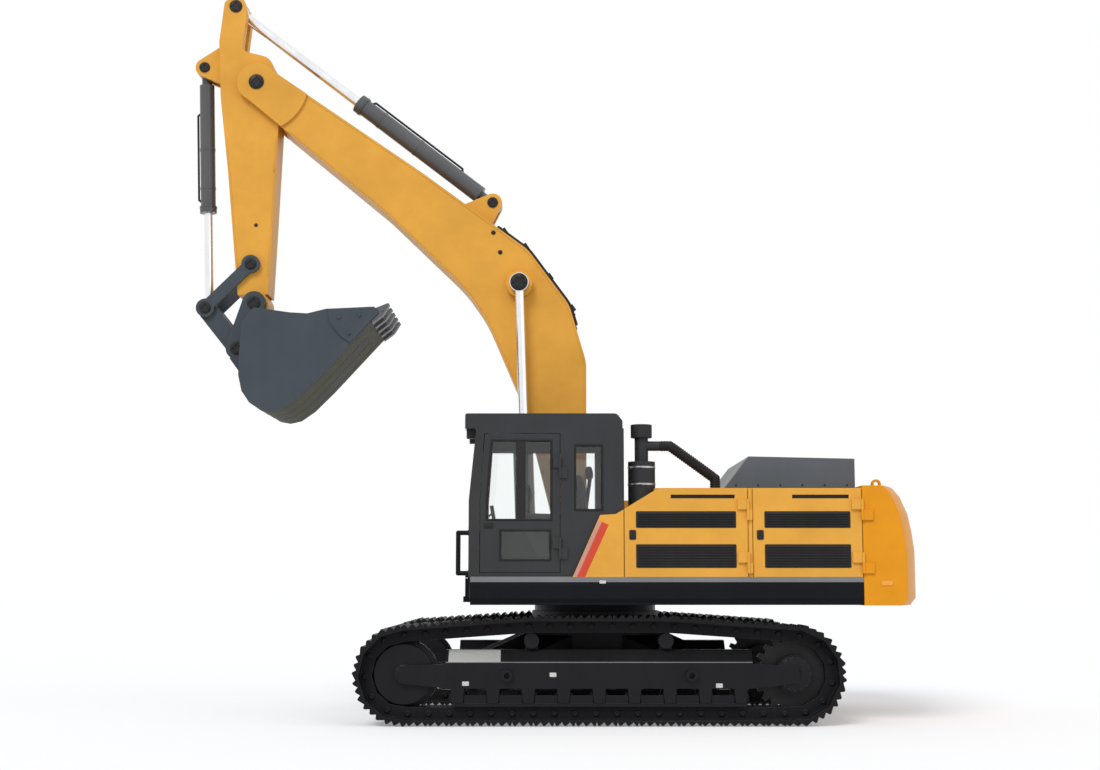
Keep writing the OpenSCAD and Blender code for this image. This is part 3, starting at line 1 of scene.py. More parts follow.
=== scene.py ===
import functools
import math
import bpy
import numpy as np
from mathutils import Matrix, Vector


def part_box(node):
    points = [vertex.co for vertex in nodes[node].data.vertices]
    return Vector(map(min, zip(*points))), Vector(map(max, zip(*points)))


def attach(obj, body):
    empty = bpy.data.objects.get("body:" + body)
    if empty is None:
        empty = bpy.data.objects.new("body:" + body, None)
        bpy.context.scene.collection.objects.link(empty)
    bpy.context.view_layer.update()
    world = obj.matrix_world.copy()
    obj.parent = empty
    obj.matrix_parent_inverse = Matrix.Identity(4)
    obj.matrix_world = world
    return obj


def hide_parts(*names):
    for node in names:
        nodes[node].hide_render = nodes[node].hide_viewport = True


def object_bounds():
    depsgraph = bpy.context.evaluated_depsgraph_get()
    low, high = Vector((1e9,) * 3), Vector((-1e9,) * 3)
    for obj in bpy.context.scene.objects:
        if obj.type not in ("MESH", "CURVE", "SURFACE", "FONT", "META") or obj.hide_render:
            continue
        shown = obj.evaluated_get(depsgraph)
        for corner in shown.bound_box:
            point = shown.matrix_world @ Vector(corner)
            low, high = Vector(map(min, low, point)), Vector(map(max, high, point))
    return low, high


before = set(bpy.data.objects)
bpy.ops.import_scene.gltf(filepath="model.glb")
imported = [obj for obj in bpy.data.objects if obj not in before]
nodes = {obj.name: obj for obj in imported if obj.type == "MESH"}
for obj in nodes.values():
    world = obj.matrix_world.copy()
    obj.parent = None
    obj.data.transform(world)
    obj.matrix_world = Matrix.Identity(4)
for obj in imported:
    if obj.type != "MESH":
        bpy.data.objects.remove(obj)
cad_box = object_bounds()

# Camera and studio: the machine is seen from its left, from low down and looking a little upwards.
# The room is a plain pale floor with a soft sun, a broad fill and an even sky.
studio = bpy.context.scene
camera_place, camera_turn = (0.508, 18.0, 1.5), (97.0, 0.0, 180.0)
camera_data = bpy.data.cameras.new("studio_camera")
camera_data.sensor_fit = "HORIZONTAL"
camera_data.sensor_width = 36.0
camera_data.lens = 51.51
camera = bpy.data.objects.new("studio_camera", camera_data)
camera.location = camera_place
camera.rotation_euler = [math.radians(a) for a in camera_turn]
studio.collection.objects.link(camera)
studio.camera = camera
studio.view_settings.view_transform = "Standard"
suns = (("sun_key", 1.5, 25.0, (48, 0, 155)), ("sun_fill", 0.5, 60.0, (60, 0, 235)))
for lamp_name, strength, spread, turn in suns:
    lamp_data = bpy.data.lights.new(lamp_name, "SUN")
    lamp_data.energy = strength
    lamp_data.angle = math.radians(spread)
    lamp = bpy.data.objects.new(lamp_name, lamp_data)
    lamp.rotation_euler = [math.radians(a) for a in turn]
    studio.collection.objects.link(lamp)


def link_nodes(tree, kind, mode=None, **sockets):
    """A shader node with its mode and sockets set; a node or output given to a socket is wired to it."""
    made = tree.nodes.new("ShaderNode" + kind)
    if mode:
        setattr(made, {"Mix": "data_type", "TexWave": "bands_direction"}.get(kind, "operation"), mode)
    for key, value in sockets.items():
        place = made.inputs[int(key[1:]) if key[1:].isdigit() else key.replace("_", " ")]
        if isinstance(value, bpy.types.Node):
            coloured = value.bl_idname == "ShaderNodeMix" and value.data_type == "RGBA"
            value = value.outputs[2 if coloured else 0]
        if isinstance(value, bpy.types.NodeSocket):
            tree.links.new(value, place)
        else:
            place.default_value = value
    return made


def plainly_seen(node):
    """1 for rays from the camera, through glass or off a gloss, and 0 for the rest."""
    rays = node("LightPath").outputs
    shown = node("Math", "MAXIMUM", i0=rays["Is Camera Ray"], i1=rays["Is Transmission Ray"])
    return node("Math", "MAXIMUM", i0=shown, i1=rays["Is Glossy Ray"])


def emptied(holder):
    """A material or a world without its nodes, and a function that adds nodes to it."""
    holder.use_nodes = True
    holder.node_tree.nodes.clear()
    return holder, functools.partial(link_nodes, holder.node_tree)


def new_finish(name):
    """An empty material and a function that adds nodes to it."""
    return emptied(bpy.data.materials.new(name))


def plain_mesh(name, points, faces, smooth=0.6):
    """Mesh object from whole arrays: n x 3 points and rows of indices; edges under the angle are smooth."""
    mesh = bpy.data.meshes.new(name)
    mesh.from_pydata(np.asarray(points, float).tolist(), [], [list(map(int, f)) for f in faces])
    mesh.update()
    if smooth:
        mesh.shade_smooth()
        mesh.set_sharp_from_angle(angle=smooth)
    made = bpy.data.objects.new(name, mesh)
    studio.collection.objects.link(made)
    return made


studio.world, sky = emptied(bpy.data.worlds.new("studio_sky"))
sky_light = sky("Background", Color=(0.93, 0.96, 1.0, 1), Strength=0.55)
sky_shown = sky("Background", Color=(1, 1, 1, 1), Strength=1.0)
sky_mix = sky("MixShader", i0=plainly_seen(sky), i1=sky_light, i2=sky_shown)
sky("OutputWorld", Surface=sky_mix)

ground, floor_half = cad_box[0][2], 90
corners = [(x * floor_half, y * floor_half, ground) for x, y in ((-1, -1), (1, -1), (1, 1), (-1, 1))]
floor = plain_mesh("studio_floor", corners, [(0, 1, 2, 3)], 0)
pale, node = new_finish("pale_floor")
pale_grain = node("TexNoise", Scale=0.8)
pale_tone = node("MapRange", Value=pale_grain, i3=0.8, i4=0.84)
pale_body = node("BsdfDiffuse", Color=pale_tone)
pale_glow = node("Emission", Color=(1, 1, 1, 1), Strength=0.25)
pale_sum = node("AddShader", i0=pale_body, i1=pale_glow)
pale_mix = node("MixShader", i0=plainly_seen(node), i1=pale_body, i2=pale_sum)
node("OutputMaterial", Surface=pale_mix)
floor.data.materials.append(pale)

# Tracks: forged chain links with bolted triple-grouser shoes, rolled steel under thin black paint.
# The paint is rubbed to dull metal on the grousers, and dry earth lies on what faces up.


def worn_paint(name, colour, rough=0.4, dust=0.15, wear=0.3, metal=0.0, bare=(0.30, 0.29, 0.28), grain=90.0,
               coat=0.0, shine=0.25, soil=0.0):
    """Paint on steel: colour drifts with a slow noise, edges rub to bare metal, dust settles on what faces
    up. A share of dull soil sticks to what faces down at rest."""
    finish, node = new_finish(name)
    axes = node("TexCoord").outputs
    place = axes["Object"]
    drift = node("TexNoise", Vector=place, Scale=1.3, Detail=6.0, Roughness=0.6)
    fine = node("TexNoise", Vector=place, Scale=grain, Detail=3.0)
    streak = node("Mapping", Vector=place, Scale=(9.0, 9.0, 0.7))
    runs = node("TexNoise", Vector=streak, Scale=1.0, Detail=4.0)
    dark = tuple(0.86 * c for c in colour) + (1,)
    light = tuple(min(1, 1.08 * c) for c in colour) + (1,)
    tone = node("MapRange", Value=drift, i1=0.3, i2=0.7)
    base = node("Mix", "RGBA", i0=tone, i6=dark, i7=light)
    bevel = node("Bevel", Radius=0.006)
    bevel.samples = 4
    facing = node("NewGeometry").outputs["Normal"]
    edge = node("VectorMath", "DOT_PRODUCT", i0=bevel, i1=facing).outputs["Value"]
    patch = node("Math", "MULTIPLY", i0=fine, i1=drift)
    rub = node("MapRange", Value=edge, i1=0.985, i2=0.80, i3=0.0, i4=2.4 * wear)
    rubbed = node("Math", "MULTIPLY", i0=rub, i1=patch)
    rubbed.use_clamp = True
    worn = node("Mix", "RGBA", i0=rubbed, i6=base, i7=tuple(bare) + (1,))
    up = node("SeparateXYZ", Vector=facing).outputs[2]
    lying = node("MapRange", Value=up, i1=0.2, i2=1.0, i3=0.25, i4=1.0)
    settled = node("Math", "MULTIPLY", i0=lying, i1=runs)
    amount = node("Math", "MULTIPLY", i0=settled, i1=dust)
    amount.use_clamp = True
    tint = node("Mix", "RGBA", i0=amount, i6=worn, i7=(0.27, 0.23, 0.18, 1))
    gloss = node("MapRange", Value=drift, i1=0.3, i2=0.7, i3=rough - 0.07, i4=rough + 0.1)
    bump = node("Bump", Strength=0.06, Distance=0.002, Height=fine, Normal=bevel)
    if soil:
        down = node("SeparateXYZ", Vector=axes["Normal"]).outputs[2]
        low = node("MapRange", Value=down, i1=-0.35, i2=-0.75, i3=0.0, i4=soil)
        clods = node("MapRange", Value=drift, i1=0.3, i2=0.7, i3=0.6, i4=1.0)
        stuck = node("Math", "MULTIPLY", i0=low, i1=clods)
        tint = node("Mix", "RGBA", i0=stuck, i6=tint, i7=(0.180, 0.174, 0.130, 1))
        gloss = node("Mix", "FLOAT", i0=stuck, i2=gloss, i3=0.95)
        shine = node("MapRange", Value=stuck, i3=shine, i4=0.0)
    shader = node("BsdfPrincipled", Base_Color=tint, Roughness=gloss, Normal=bump, Metallic=metal,
                  Specular_IOR_Level=shine, Coat_Weight=coat, Coat_Roughness=0.12)
    node("OutputMaterial", Surface=shader)
    return finish


def dress(finish, *names):
    """The finish takes every slot of these solids."""
    for name in names:
        nodes[name].data.materials.clear()
        nodes[name].data.materials.append(finish)


track_steel = worn_paint("track_steel", (0.009, 0.009, 0.011), rough=0.5, dust=0.07, wear=0.6, metal=0.3,
                         bare=(0.16, 0.155, 0.15), grain=55, shine=0.12)
dress(track_steel, "track_left", "track_right")
shoe_count, track_middle, rail_outside = 49, 1.295, 0.135
wheel_half, pin_radius, pin_height, flat_half = 2.026, 0.398, 0.112, 0.7
slope = math.radians(4.0)
lower_run, flat_run = 2 * wheel_half, 2 * flat_half
arc = pin_radius * (math.pi - slope)
ramp = (wheel_half + pin_radius * math.sin(slope) - flat_half) / math.cos(slope)
loop = lower_run + 2 * arc + 2 * ramp + flat_run
upper = pin_height + pin_radius + pin_radius * math.cos(slope) + ramp * math.sin(slope)


def on_loop(run):
    """Points and headings on the chain's pin line by arc length: the lower run, the front arc, two ramps with
    a flat top between them, and the rear arc."""
    run = np.asarray(run, float)
    a, b, c, d, e = np.cumsum([lower_run, arc, ramp, flat_run, ramp])
    turn, rest = (run - a) / pin_radius, (loop - run) / pin_radius
    still, drop, reach = 0 * run, math.sin(slope), math.cos(slope)
    pick = [run < a, run < b, run < c, run < d, run < e]
    x = np.select(pick, [run - wheel_half, wheel_half + pin_radius * np.sin(turn),
                         flat_half + (c - run) * reach, flat_half - (run - c),
                         -flat_half - (run - d) * reach],
                  -wheel_half - pin_radius * np.sin(rest))
    z = np.select(pick, [still + pin_height, pin_height + pin_radius * (1 - np.cos(turn)),
                         upper - (c - run) * drop, still + upper, upper - (run - d) * drop],
                  pin_height + pin_radius * (1 - np.cos(rest)))
    way = np.select(pick, [still, turn, still + math.pi - slope, still + math.pi, still + math.pi + slope],
                    -rest)
    return x, z, way


def unit(rows):
    """The rows as vectors of length 1."""
    rows = np.asarray(rows, float)
    return rows / (np.linalg.norm(rows, axis=-1, keepdims=True) + 1e-12)


def square_to(axes):
    """Two unit vectors for each axis, square to it and to each other."""
    u = unit(np.cross(axes, np.where(np.abs(axes[..., 2:3]) < 0.9, [0.0, 0.0, 1.0], [1.0, 0.0, 0.0])))
    return u, np.cross(axes, u)


def ring_faces(rows, count, closed=False):
    """Quads from each ring of count points to the next, and from the last ring to the first where closed."""
    i, j = np.meshgrid(np.arange(rows if closed else rows - 1), np.arange(count), indexing="ij")
    above, beside = (i + 1) % rows * count, (j + 1) % count
    return np.stack([i * count + j, i * count + beside, above + beside, above + j], -1).reshape(-1, 4)


def turned(profile, centres, axes, sides=16, hollow=False):
    """Many turned pieces at once: a profile of (radius, height) rows spun round each centre's axis. Flat ends
    close a solid one; a hollow one runs from its last row back to its first, as a ring."""
    profile, centres = np.asarray(profile, float), np.atleast_2d(np.asarray(centres, float))
    axes = np.broadcast_to(unit(np.atleast_2d(axes)), centres.shape)
    u, v = square_to(axes)
    turn = np.linspace(0, 2 * math.pi, sides, endpoint=False)[:, None]
    ring = u[:, None, None] * np.cos(turn) + v[:, None, None] * np.sin(turn)
    radius, height = profile[:, 0][:, None, None], profile[:, 1][:, None, None]
    points = centres[:, None, None] + ring * radius + axes[:, None, None] * height
    rows = len(profile)
    quad = ring_faces(rows, sides, hollow)
    caps = [] if hollow else [np.arange(sides)[::-1], (rows - 1) * sides + np.arange(sides)]
    faces = []
    for start in np.arange(len(centres)) * rows * sides:
        faces += (quad + start).tolist() + [(c + start).tolist() for c in caps]
    return points.reshape(-1, 3), faces


def fit_piece(name, body, finish, points, faces, slot, smooth=0.6):
    """A new piece: its mesh, its finish and the body that carries it; the slot is not used."""
    made = plain_mesh(name, points, faces, smooth)
    made.data.materials.append(finish)
    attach(made, body)
    return made


pin_end = [(0.034, -0.004), (0.034, 0.012), (0.024, 0.020), (0.010, 0.020), (0.006, 0.016)]
shoe_bolt = [(0.014, 0.0), (0.014, 0.010), (0.011, 0.013)]
bolt_shares, bolt_side, shoe_face = np.array([0.2, 0.32]), 0.095, 0.0755
pitch = loop / shoe_count
link_x, link_z, _ = on_loop((np.arange(shoe_count) + 0.5) * pitch)
bolt_x, bolt_z, bolt_way = on_loop(((np.arange(shoe_count)[:, None] + bolt_shares) * pitch % loop).ravel())
outward = np.stack([np.sin(bolt_way), 0 * bolt_way, -np.cos(bolt_way)], 1)
seats = np.stack([bolt_x, 0 * bolt_x, bolt_z], 1) + outward * shoe_face
both_sides = ((1, "left"), (-1, "right"))
for side, side_name in both_sides:
    ends = [np.stack([link_x, 0 * link_x + side * track_middle + out * rail_outside, link_z], 1)
            for out in (-1, 1)]
    ways = [np.tile([[0.0, out, 0.0]], (shoe_count, 1)) for out in (-1, 1)]
    fit_piece(f"chain_pins_{side_name}", "undercarriage", track_steel,
              *turned(pin_end, np.concatenate(ends), np.concatenate(ways), 12), "black")
    heads = np.concatenate([seats + [0, side * track_middle + y, 0] for y in (-bolt_side, bolt_side)])
    fit_piece(f"shoe_bolts_{side_name}", "undercarriage", track_steel,
              *turned(shoe_bolt, heads, np.concatenate([outward, outward]), 6), "black")

# Track frames, rollers and wheels: welded box beams with cast rollers, idlers and final drives bolted in.
# Black satin paint, chalky with dust on the ledges; a grey bead along the beams' shoulders and light grey
# sheets on the sloped front tops are painted highlights.
# A guide bar runs under the feet of each beam, with guard plates between the feet in front of the rollers.
frame_black = worn_paint("frame_black", (0.008, 0.008, 0.010), rough=0.38, dust=0.05, wear=0.35,
                         bare=(0.10, 0.10, 0.10), shine=0.15)
sprocket_steel = worn_paint("sprocket_steel", (0.02, 0.02, 0.022), rough=0.45, dust=0.08, wear=0.8,
                            metal=0.6, bare=(0.3, 0.29, 0.28))
dress(frame_black, "car_body", "track_frame_left", "track_frame_right", "final_drives", "idlers",
      "lower_rollers", "carrier_rollers", "lashing_eyes", "tow_eyes")
dress(sprocket_steel, "sprockets", "swing_bearing")


def bolt_ring(centre, axis, radius, count, head=0.014):
    """Hexagon heads on a circle: places centre + radius * (cos, sin) in the plane across the axis."""
    axis = unit(axis)
    u, v = square_to(axis)
    turn = np.arange(count)[:, None] * 2 * math.pi / count
    places = np.asarray(centre, float) + radius * (np.cos(turn) * u + np.sin(turn) * v)
    return turned([(head, 0), (head, 0.8 * head), (0.8 * head, head)], places, axis, 6)


def joined(*parts):
    """Several (points, faces) pairs as one pair."""
    points, faces, start = [], [], 0
    for p, f in parts:
        points.append(np.asarray(p, float))
        faces += [[i + start for i in row] for row in f]
        start += len(p)
    return np.concatenate(points), faces


def turned_area(outline):
    """Twice the signed area of a closed outline, positive where it runs against the clock."""
    after = np.roll(outline, -1, 0)
    return np.sum(outline[:, 0] * after[:, 1] - after[:, 0] * outline[:, 1])


def prism(near, shift, flip=False):
    """A flat outline of points and its copy moved by a shift, as a solid; flip turns its faces round."""
    n = len(near)
    j = np.arange(n)
    faces = [j.tolist(), (n + j[::-1]).tolist()] + ring_faces(2, n)[:, ::-1].tolist()
    return np.concatenate([near, near + np.asarray(shift)]), [row[::-1] for row in faces] if flip else faces


def slab(outline, low, high):
    """Prism across the machine: a closed side-view outline of (forward, up) rows between two stations."""
    outline = np.asarray(outline, float)
    if turned_area(outline) < 0:
        outline = outline[::-1]
    near = np.stack([outline[:, 0], np.full(len(outline), low), outline[:, 1]], 1)
    return prism(near, (0, high - low, 0))


def side_slab(outline, side, inner, outer):
    """A slab on the left (1) or the right (-1), between two distances from the machine's middle."""
    return slab(outline, *sorted((side * inner, side * outer)))


def rounded_box(x0, x1, z0, z1, r, steps=5):
    """Rectangle with quarter-circle corners, as (forward, up) rows."""
    turn = np.linspace(0, math.pi / 2, steps)
    corners = [(x1 - r, z1 - r, 0), (x0 + r, z1 - r, 1), (x0 + r, z0 + r, 2), (x1 - r, z0 + r, 3)]
    arcs = [(cx, cz, turn + q * math.pi / 2) for cx, cz, q in corners]
    return np.concatenate([np.stack([cx + r * np.cos(t), cz + r * np.sin(t)], 1) for cx, cz, t in arcs])


def swept(path, profile, flat, closed=False):
    """A closed profile of (u, v) rows carried along a flat path: u lies across the path in its plane, v along
    the flat's normal, and corners are mitred by 1 / cos(half the turn)."""
    path, profile, flat = np.asarray(path, float), np.asarray(profile, float), np.asarray(flat, float)
    ahead = unit(np.roll(path, -1, 0) - path)
    behind = np.roll(ahead, 1, 0)
    if not closed:
        ahead[-1], behind[0] = behind[-1], ahead[0]
    tangent = unit(ahead + behind)
    stretch = 1 / np.maximum(np.sum(tangent * ahead, 1), 0.35)
    across = np.cross(tangent, flat) * stretch[:, None]
    points = path[:, None] + across[:, None] * profile[None, :, :1] + flat[None, None] * profile[None, :, 1:]
    n, m = len(path), len(profile)
    faces = ring_faces(n, m, closed)[:, [0, 3, 2, 1]].tolist()
    if not closed:
        faces += [list(range(m)), list(range((n - 1) * m, n * m))[::-1]]
    if turned_area(profile) < 0:
        faces = [row[::-1] for row in faces]
    return points.reshape(-1, 3), faces


def disc(radius, count=10):
    """Round profile of (u, v) rows."""
    turn = np.arange(count) * 2 * math.pi / count
    return np.stack([radius * np.cos(turn), radius * np.sin(turn)], 1)


# This light grey is the bare plates' own colour, and on the sloped front tops of the track frames it is a
# painted highlight.
bare_plate_and_highlight = worn_paint("bare_plate_and_highlight", (0.62, 0.62, 0.60), rough=0.35, dust=0.1, wear=0.2, metal=0.3,
                        grain=140)
# The next grey is a painted highlight, for the bead along each track frame's shoulder.
edge_highlight_grey = worn_paint("edge_highlight_grey", (0.17, 0.17, 0.18), rough=0.4, dust=0.1, wear=0.4, metal=0.2, grain=140)
wheel_face, axle_height = 1.458, 0.510
cover_rows = [(0.185, -0.004), (0.185, 0.016), (0.16, 0.026), (0.07, 0.030), (0.065, 0.022), (0.004, 0.022)]
cap_rows = [(0.10, -0.004), (0.10, 0.012), (0.085, 0.022), (0.03, 0.026), (0.004, 0.026)]
beam_side, shoulder_height, beam_end, edge_radius = 1.4955, 0.636, 1.585, 0.007
plate_inner, plate_outer, plate_half, plate_rise = 1.4995, 1.5035, 0.035, 0.022
plate_places = ((1.38, 0.42), (0.477, 0.51), (-1.24, 0.40))
highlight_low, highlight_high, highlight_ends, highlight_wall = (1.4975, 0.6385), (1.3695, 0.7576), (1.02, 1.56), 0.004
guard_foot, leg_foot, guard_top, guard_overlap = 0.184, 0.2202, 0.300, 0.0006
roller_first, roller_step, leg_half, bar_overhang = -1.4628, 0.3657, 0.0635, 0.055
for side, side_name in both_sides:
    way = (0, side, 0)
    cover = turned(cover_rows, [(-wheel_half, side * wheel_face, axle_height)], way, 40)
    cap = turned(cap_rows, [(wheel_half, side * wheel_face, axle_height)], way, 32)
    cover_bolts = bolt_ring((-wheel_half, side * (wheel_face + 0.014), axle_height), way, 0.168, 16)
    cap_bolts = bolt_ring((wheel_half, side * (wheel_face + 0.011), axle_height), way, 0.089, 6, 0.009)
    fit_piece(f"wheel_covers_{side_name}", "undercarriage", frame_black,
              *joined(cover, cap, cover_bolts, cap_bolts), "black")
    parts = []
    for x, z in plate_places:
        rim = rounded_box(x - plate_half, x + plate_half, z - plate_rise, z + plate_rise, 0.006)
        parts.append(side_slab(rim, side, plate_inner, plate_outer))
        rivets = [(x + s * 0.026, side * plate_outer, z) for s in (-1, 1)]
        parts.append(turned([(0.004, 0), (0.003, 0.002)], rivets, way, 8))
    fit_piece(f"frame_plates_{side_name}", "undercarriage", bare_plate_and_highlight, *joined(*parts), "steel")
    # A thin light grey sheet on the sloped top of each frame's front: a painted highlight where that slope
    # catches the light.
    a, b = np.array(highlight_low) * [side, 1], np.array(highlight_high) * [side, 1]
    lift = np.array([side * 0.68, 0.733]) * highlight_wall
    rim = np.array([a, b, b + lift, a + lift])
    near = np.stack([np.full(4, highlight_ends[0]), rim[:, 0], rim[:, 1]], 1)
    highlight_sheet = fit_piece(f"adjuster_cover_highlight_{side_name}", "undercarriage", bare_plate_and_highlight,
                      *prism(near, (highlight_ends[1] - highlight_ends[0], 0, 0), side < 0), "steel")
    highlight_sheet.modifiers.new("edge", "BEVEL").width = 0.0015
    # A grey bead along the beam's shoulder: a painted highlight where the edge catches the light.
    shoulder = [(x, side * beam_side, shoulder_height) for x in (-beam_end, beam_end)]
    fit_piece(f"frame_edge_highlight_{side_name}", "undercarriage", edge_highlight_grey,
              *swept(shoulder, disc(edge_radius), (0, 0, 1)), "steel")
    bar = rounded_box(roller_first - bar_overhang, bar_overhang - roller_first, guard_foot, leg_foot, 0.006)
    parts = [side_slab(bar, side, 1.462, 1.496)]
    for x in roller_first + roller_step * np.arange(8):
        rim = rounded_box(x + leg_half, x + roller_step - leg_half, leg_foot - guard_overlap, guard_top,
                          0.012)
        parts.append(side_slab(rim, side, 1.470, 1.482))
    fit_piece(f"roller_guards_{side_name}", "undercarriage", frame_black, *joined(*parts), "black")

# Revolving frame: a welded deck with rolled D-section side beams, in satin black.
# A pressed lip runs along the beams' tops in lighter grey, a painted reflection of the sky on their rounded
# tops; boom brackets and cylinder lugs are thick plates welded on.
deck_black = worn_paint("deck_black", (0.007, 0.008, 0.011), rough=0.3, dust=0.03, wear=0.25,
                        bare=(0.12, 0.12, 0.12), shine=0.08)
# The lighter grey on the side beams' lip is a painted sky reflection; on the tool box lid the same grey is
# the studs' own colour.
lip_sheen_and_stud_grey = worn_paint("lip_sheen_and_stud_grey", (0.20, 0.20, 0.21), rough=0.4, dust=0.15, wear=0.3)
dress(deck_black, "revolving_frame")
lip_rear, lip_fronts, lip_side, lip_height = -2.758, {"left": 1.338, "right": 1.518}, 1.482, 1.4995
lip_rows = [(0.0, 0.0), (0.0, 0.014), (0.008, 0.018), (0.020, 0.012), (0.020, -0.040), (0.014, -0.040),
            (0.013, 0.0)]
for side, side_name in both_sides:
    run = [(x, side * lip_side, lip_height) for x in (lip_rear, lip_fronts[side_name])]
    fit_piece(f"beam_lip_sheen_{side_name}", "upperstructure", lip_sheen_and_stud_grey,
              *swept(run, [(side * -u, v) for u, v in lip_rows], (0, 0, 1)), "grey")

# Counterweight: one iron casting bolted to the tail, in a deeper yellow than the sheet metal.
# Two lifting eyes stand on top, each side has an amber reflector, and a bare plate marks each side beam.
weight_yellow = worn_paint("weight_yellow", (0.80, 0.315, 0.014), rough=0.36, dust=0.04, wear=0.12, grain=40,
                           shine=0.1, bare=(0.30, 0.17, 0.05))
dress(weight_yellow, "counterweight", "lifting_eyes")
amber = worn_paint("amber_lens", (0.9, 0.36, 0.02), rough=0.15, dust=0.03, wear=0.0, coat=1.0, grain=300)
skin = 1.4995
for side, side_name in both_sides:
    reflector = rounded_box(-3.06, -2.94, 1.425, 1.475, 0.012)
    fit_piece(f"side_reflector_{side_name}", "upperstructure", amber,
              *side_slab(reflector, side, skin, 1.507), "counterweight_yellow")
    marker = rounded_box(-0.075, -0.005, 1.445, 1.478, 0.010)
    fit_piece(f"side_marker_{side_name}", "upperstructure", bare_plate_and_highlight,
              *side_slab(marker, side, skin, 1.506), "steel")

# Engine housing: folded steel doors and covers in gloss yellow, hung on lift-off hinges at their rear edges.
# Black pressed louvre panels are riveted over the air slots, and paddle latches close the front edges.
# Punched grip plates lie on the top, beside the hood.
body_yellow = worn_paint("body_yellow", (0.785, 0.385, 0.060), rough=0.36, dust=0.04, wear=0.12, shine=0.1,
                         bare=(0.33, 0.22, 0.08))
trim_black = worn_paint("trim_black", (0.012, 0.012, 0.013), rough=0.45, dust=0.10, wear=0.1,
                        bare=(0.1, 0.1, 0.1))


def fit_trim(name, body, mesh):
    """A new piece of black trim, from a (points, faces) pair."""
    return fit_piece(name, body, trim_black, *mesh, "black")


dress(body_yellow, "front_cover", "housing_frame", "left_door_front", "left_door_rear", "right_door",
      "fuel_tank", "hydraulic_tank")
dress(trim_black, "engine")
doors = (("front_side_door", 1, -1.557, -0.270, 0.132, 0.085),
         ("rear_side_door", 1, -2.752, -1.613, 0.132, 0.075),
         ("pump_door", -1, -2.752, -1.1672, 0.176, 0.075))
louvre_rows = ((2.022, 2.196, 6), (1.607, 1.852, 8))
sheet_face, sheet_margin, blade_depth, blade_wall, slot_share = 1.5025, 0.012, 0.013, 0.003, 0.52
for body, side, rear, front, inset, latch_back in doors:
    parts = []
    x0, x1 = rear + inset - sheet_margin, front - inset + sheet_margin
    for low, high, fins in louvre_rows:
        parts.append(side_slab(rounded_box(x0, x1, low, high, 0.012), side, skin, sheet_face))
        step = (high - low - 0.02) / fins
        drop = -0.55 * step
        blade = [(0.0, 0.0), (blade_depth, drop), (blade_depth, drop - blade_wall), (0.0, -blade_wall)]
        blade = [(side * -u, v) for u, v in blade]
        for z in high - sheet_margin - step * np.arange(fins):
            parts.append(swept([(x, side * 1.5022, z) for x in (x0 + 0.02, x1 - 0.02)], blade, (0, 0, 1)))
        rivets = [(x, side * sheet_face, z) for x in np.linspace(x0 + 0.01, x1 - 0.01, 9)
                  for z in (low + 0.006, high - 0.006)]
        parts.append(turned([(0.005, 0), (0.0035, 0.0025)], rivets, (0, side, 0), 8))
    slot_front = rear + inset + slot_share * (front - rear)
    slot = rounded_box(rear + inset - 0.02, slot_front + 0.02, 2.315, 2.384, 0.01)
    parts.append(side_slab(slot, side, 1.4705, 1.4775))
    fit_trim(f"louvres_{body}", body, joined(*parts))
    latch = front - latch_back
    tray = side_slab(rounded_box(latch - 0.035, latch + 0.035, 1.90, 2.0, 0.014), side, skin, 1.508)
    paddle = side_slab(rounded_box(latch - 0.022, latch + 0.022, 1.915, 1.965, 0.010), side, 1.5075, 1.513)
    fit_trim(f"latch_{body}", body, joined(tray, paddle))

housing_top, grip_inner, grip_outer, grip_step, grip_wall = 2.440, 1.06, 1.40, 0.057, 0.004
stud_rows = [(0.016, 0), (0.012, 0.004)]
for side, side_name, rear, front in ((1, "left", -2.70, -1.42), (-1, "right", -2.70, -1.95)):
    low, high = sorted((side * grip_inner, side * grip_outer))
    foot, head = housing_top - 0.0005, housing_top + grip_wall
    sheet = slab([(rear, foot), (front, foot), (front, head), (rear, head)], low, high)
    gx, gy = np.meshgrid(np.arange(rear + 0.04, front - 0.03, grip_step),
                         np.arange(low + 0.04, high - 0.03, grip_step))
    studs = np.stack([gx.ravel(), gy.ravel(), np.full(gx.size, head - 0.0002)], 1)
    fit_trim(f"grip_plate_{side_name}", "upperstructure",
             joined(sheet, turned(stud_rows, studs, (0, 0, 1), 10)))

# Warning band on the slanted front cover: two strips of coloured plastic film, one red and one pale.
# They are cut straight and laid on the paint along the cover's edge.
film_red = worn_paint("film_red", (0.66, 0.07, 0.032), rough=0.3, dust=0.04, wear=0.05, bare=(0.5, 0.3, 0.2))
film_pale = worn_paint("film_pale", (0.62, 0.30, 0.27), rough=0.35, dust=0.05, wear=0.05,
                       bare=(0.5, 0.4, 0.35))
band_foot, band_head = np.array([0.268, 1.535]), np.array([0.006, 2.105])
along = unit(band_head - band_foot)
inward = np.array([-along[1], along[0]])
strips = (("cover_band_pale", film_pale, 0.010, 0.034), ("cover_band_red", film_red, 0.047, 0.075))
for name, finish, start, width in strips:
    near, far = inward * start, inward * (start + width)
    rim = [band_foot + near, band_head + near, band_head + far, band_foot + far]
    fit_piece(name, "upperstructure", finish, *slab(rim, 1.4998, 1.5012), "yellow", 0)

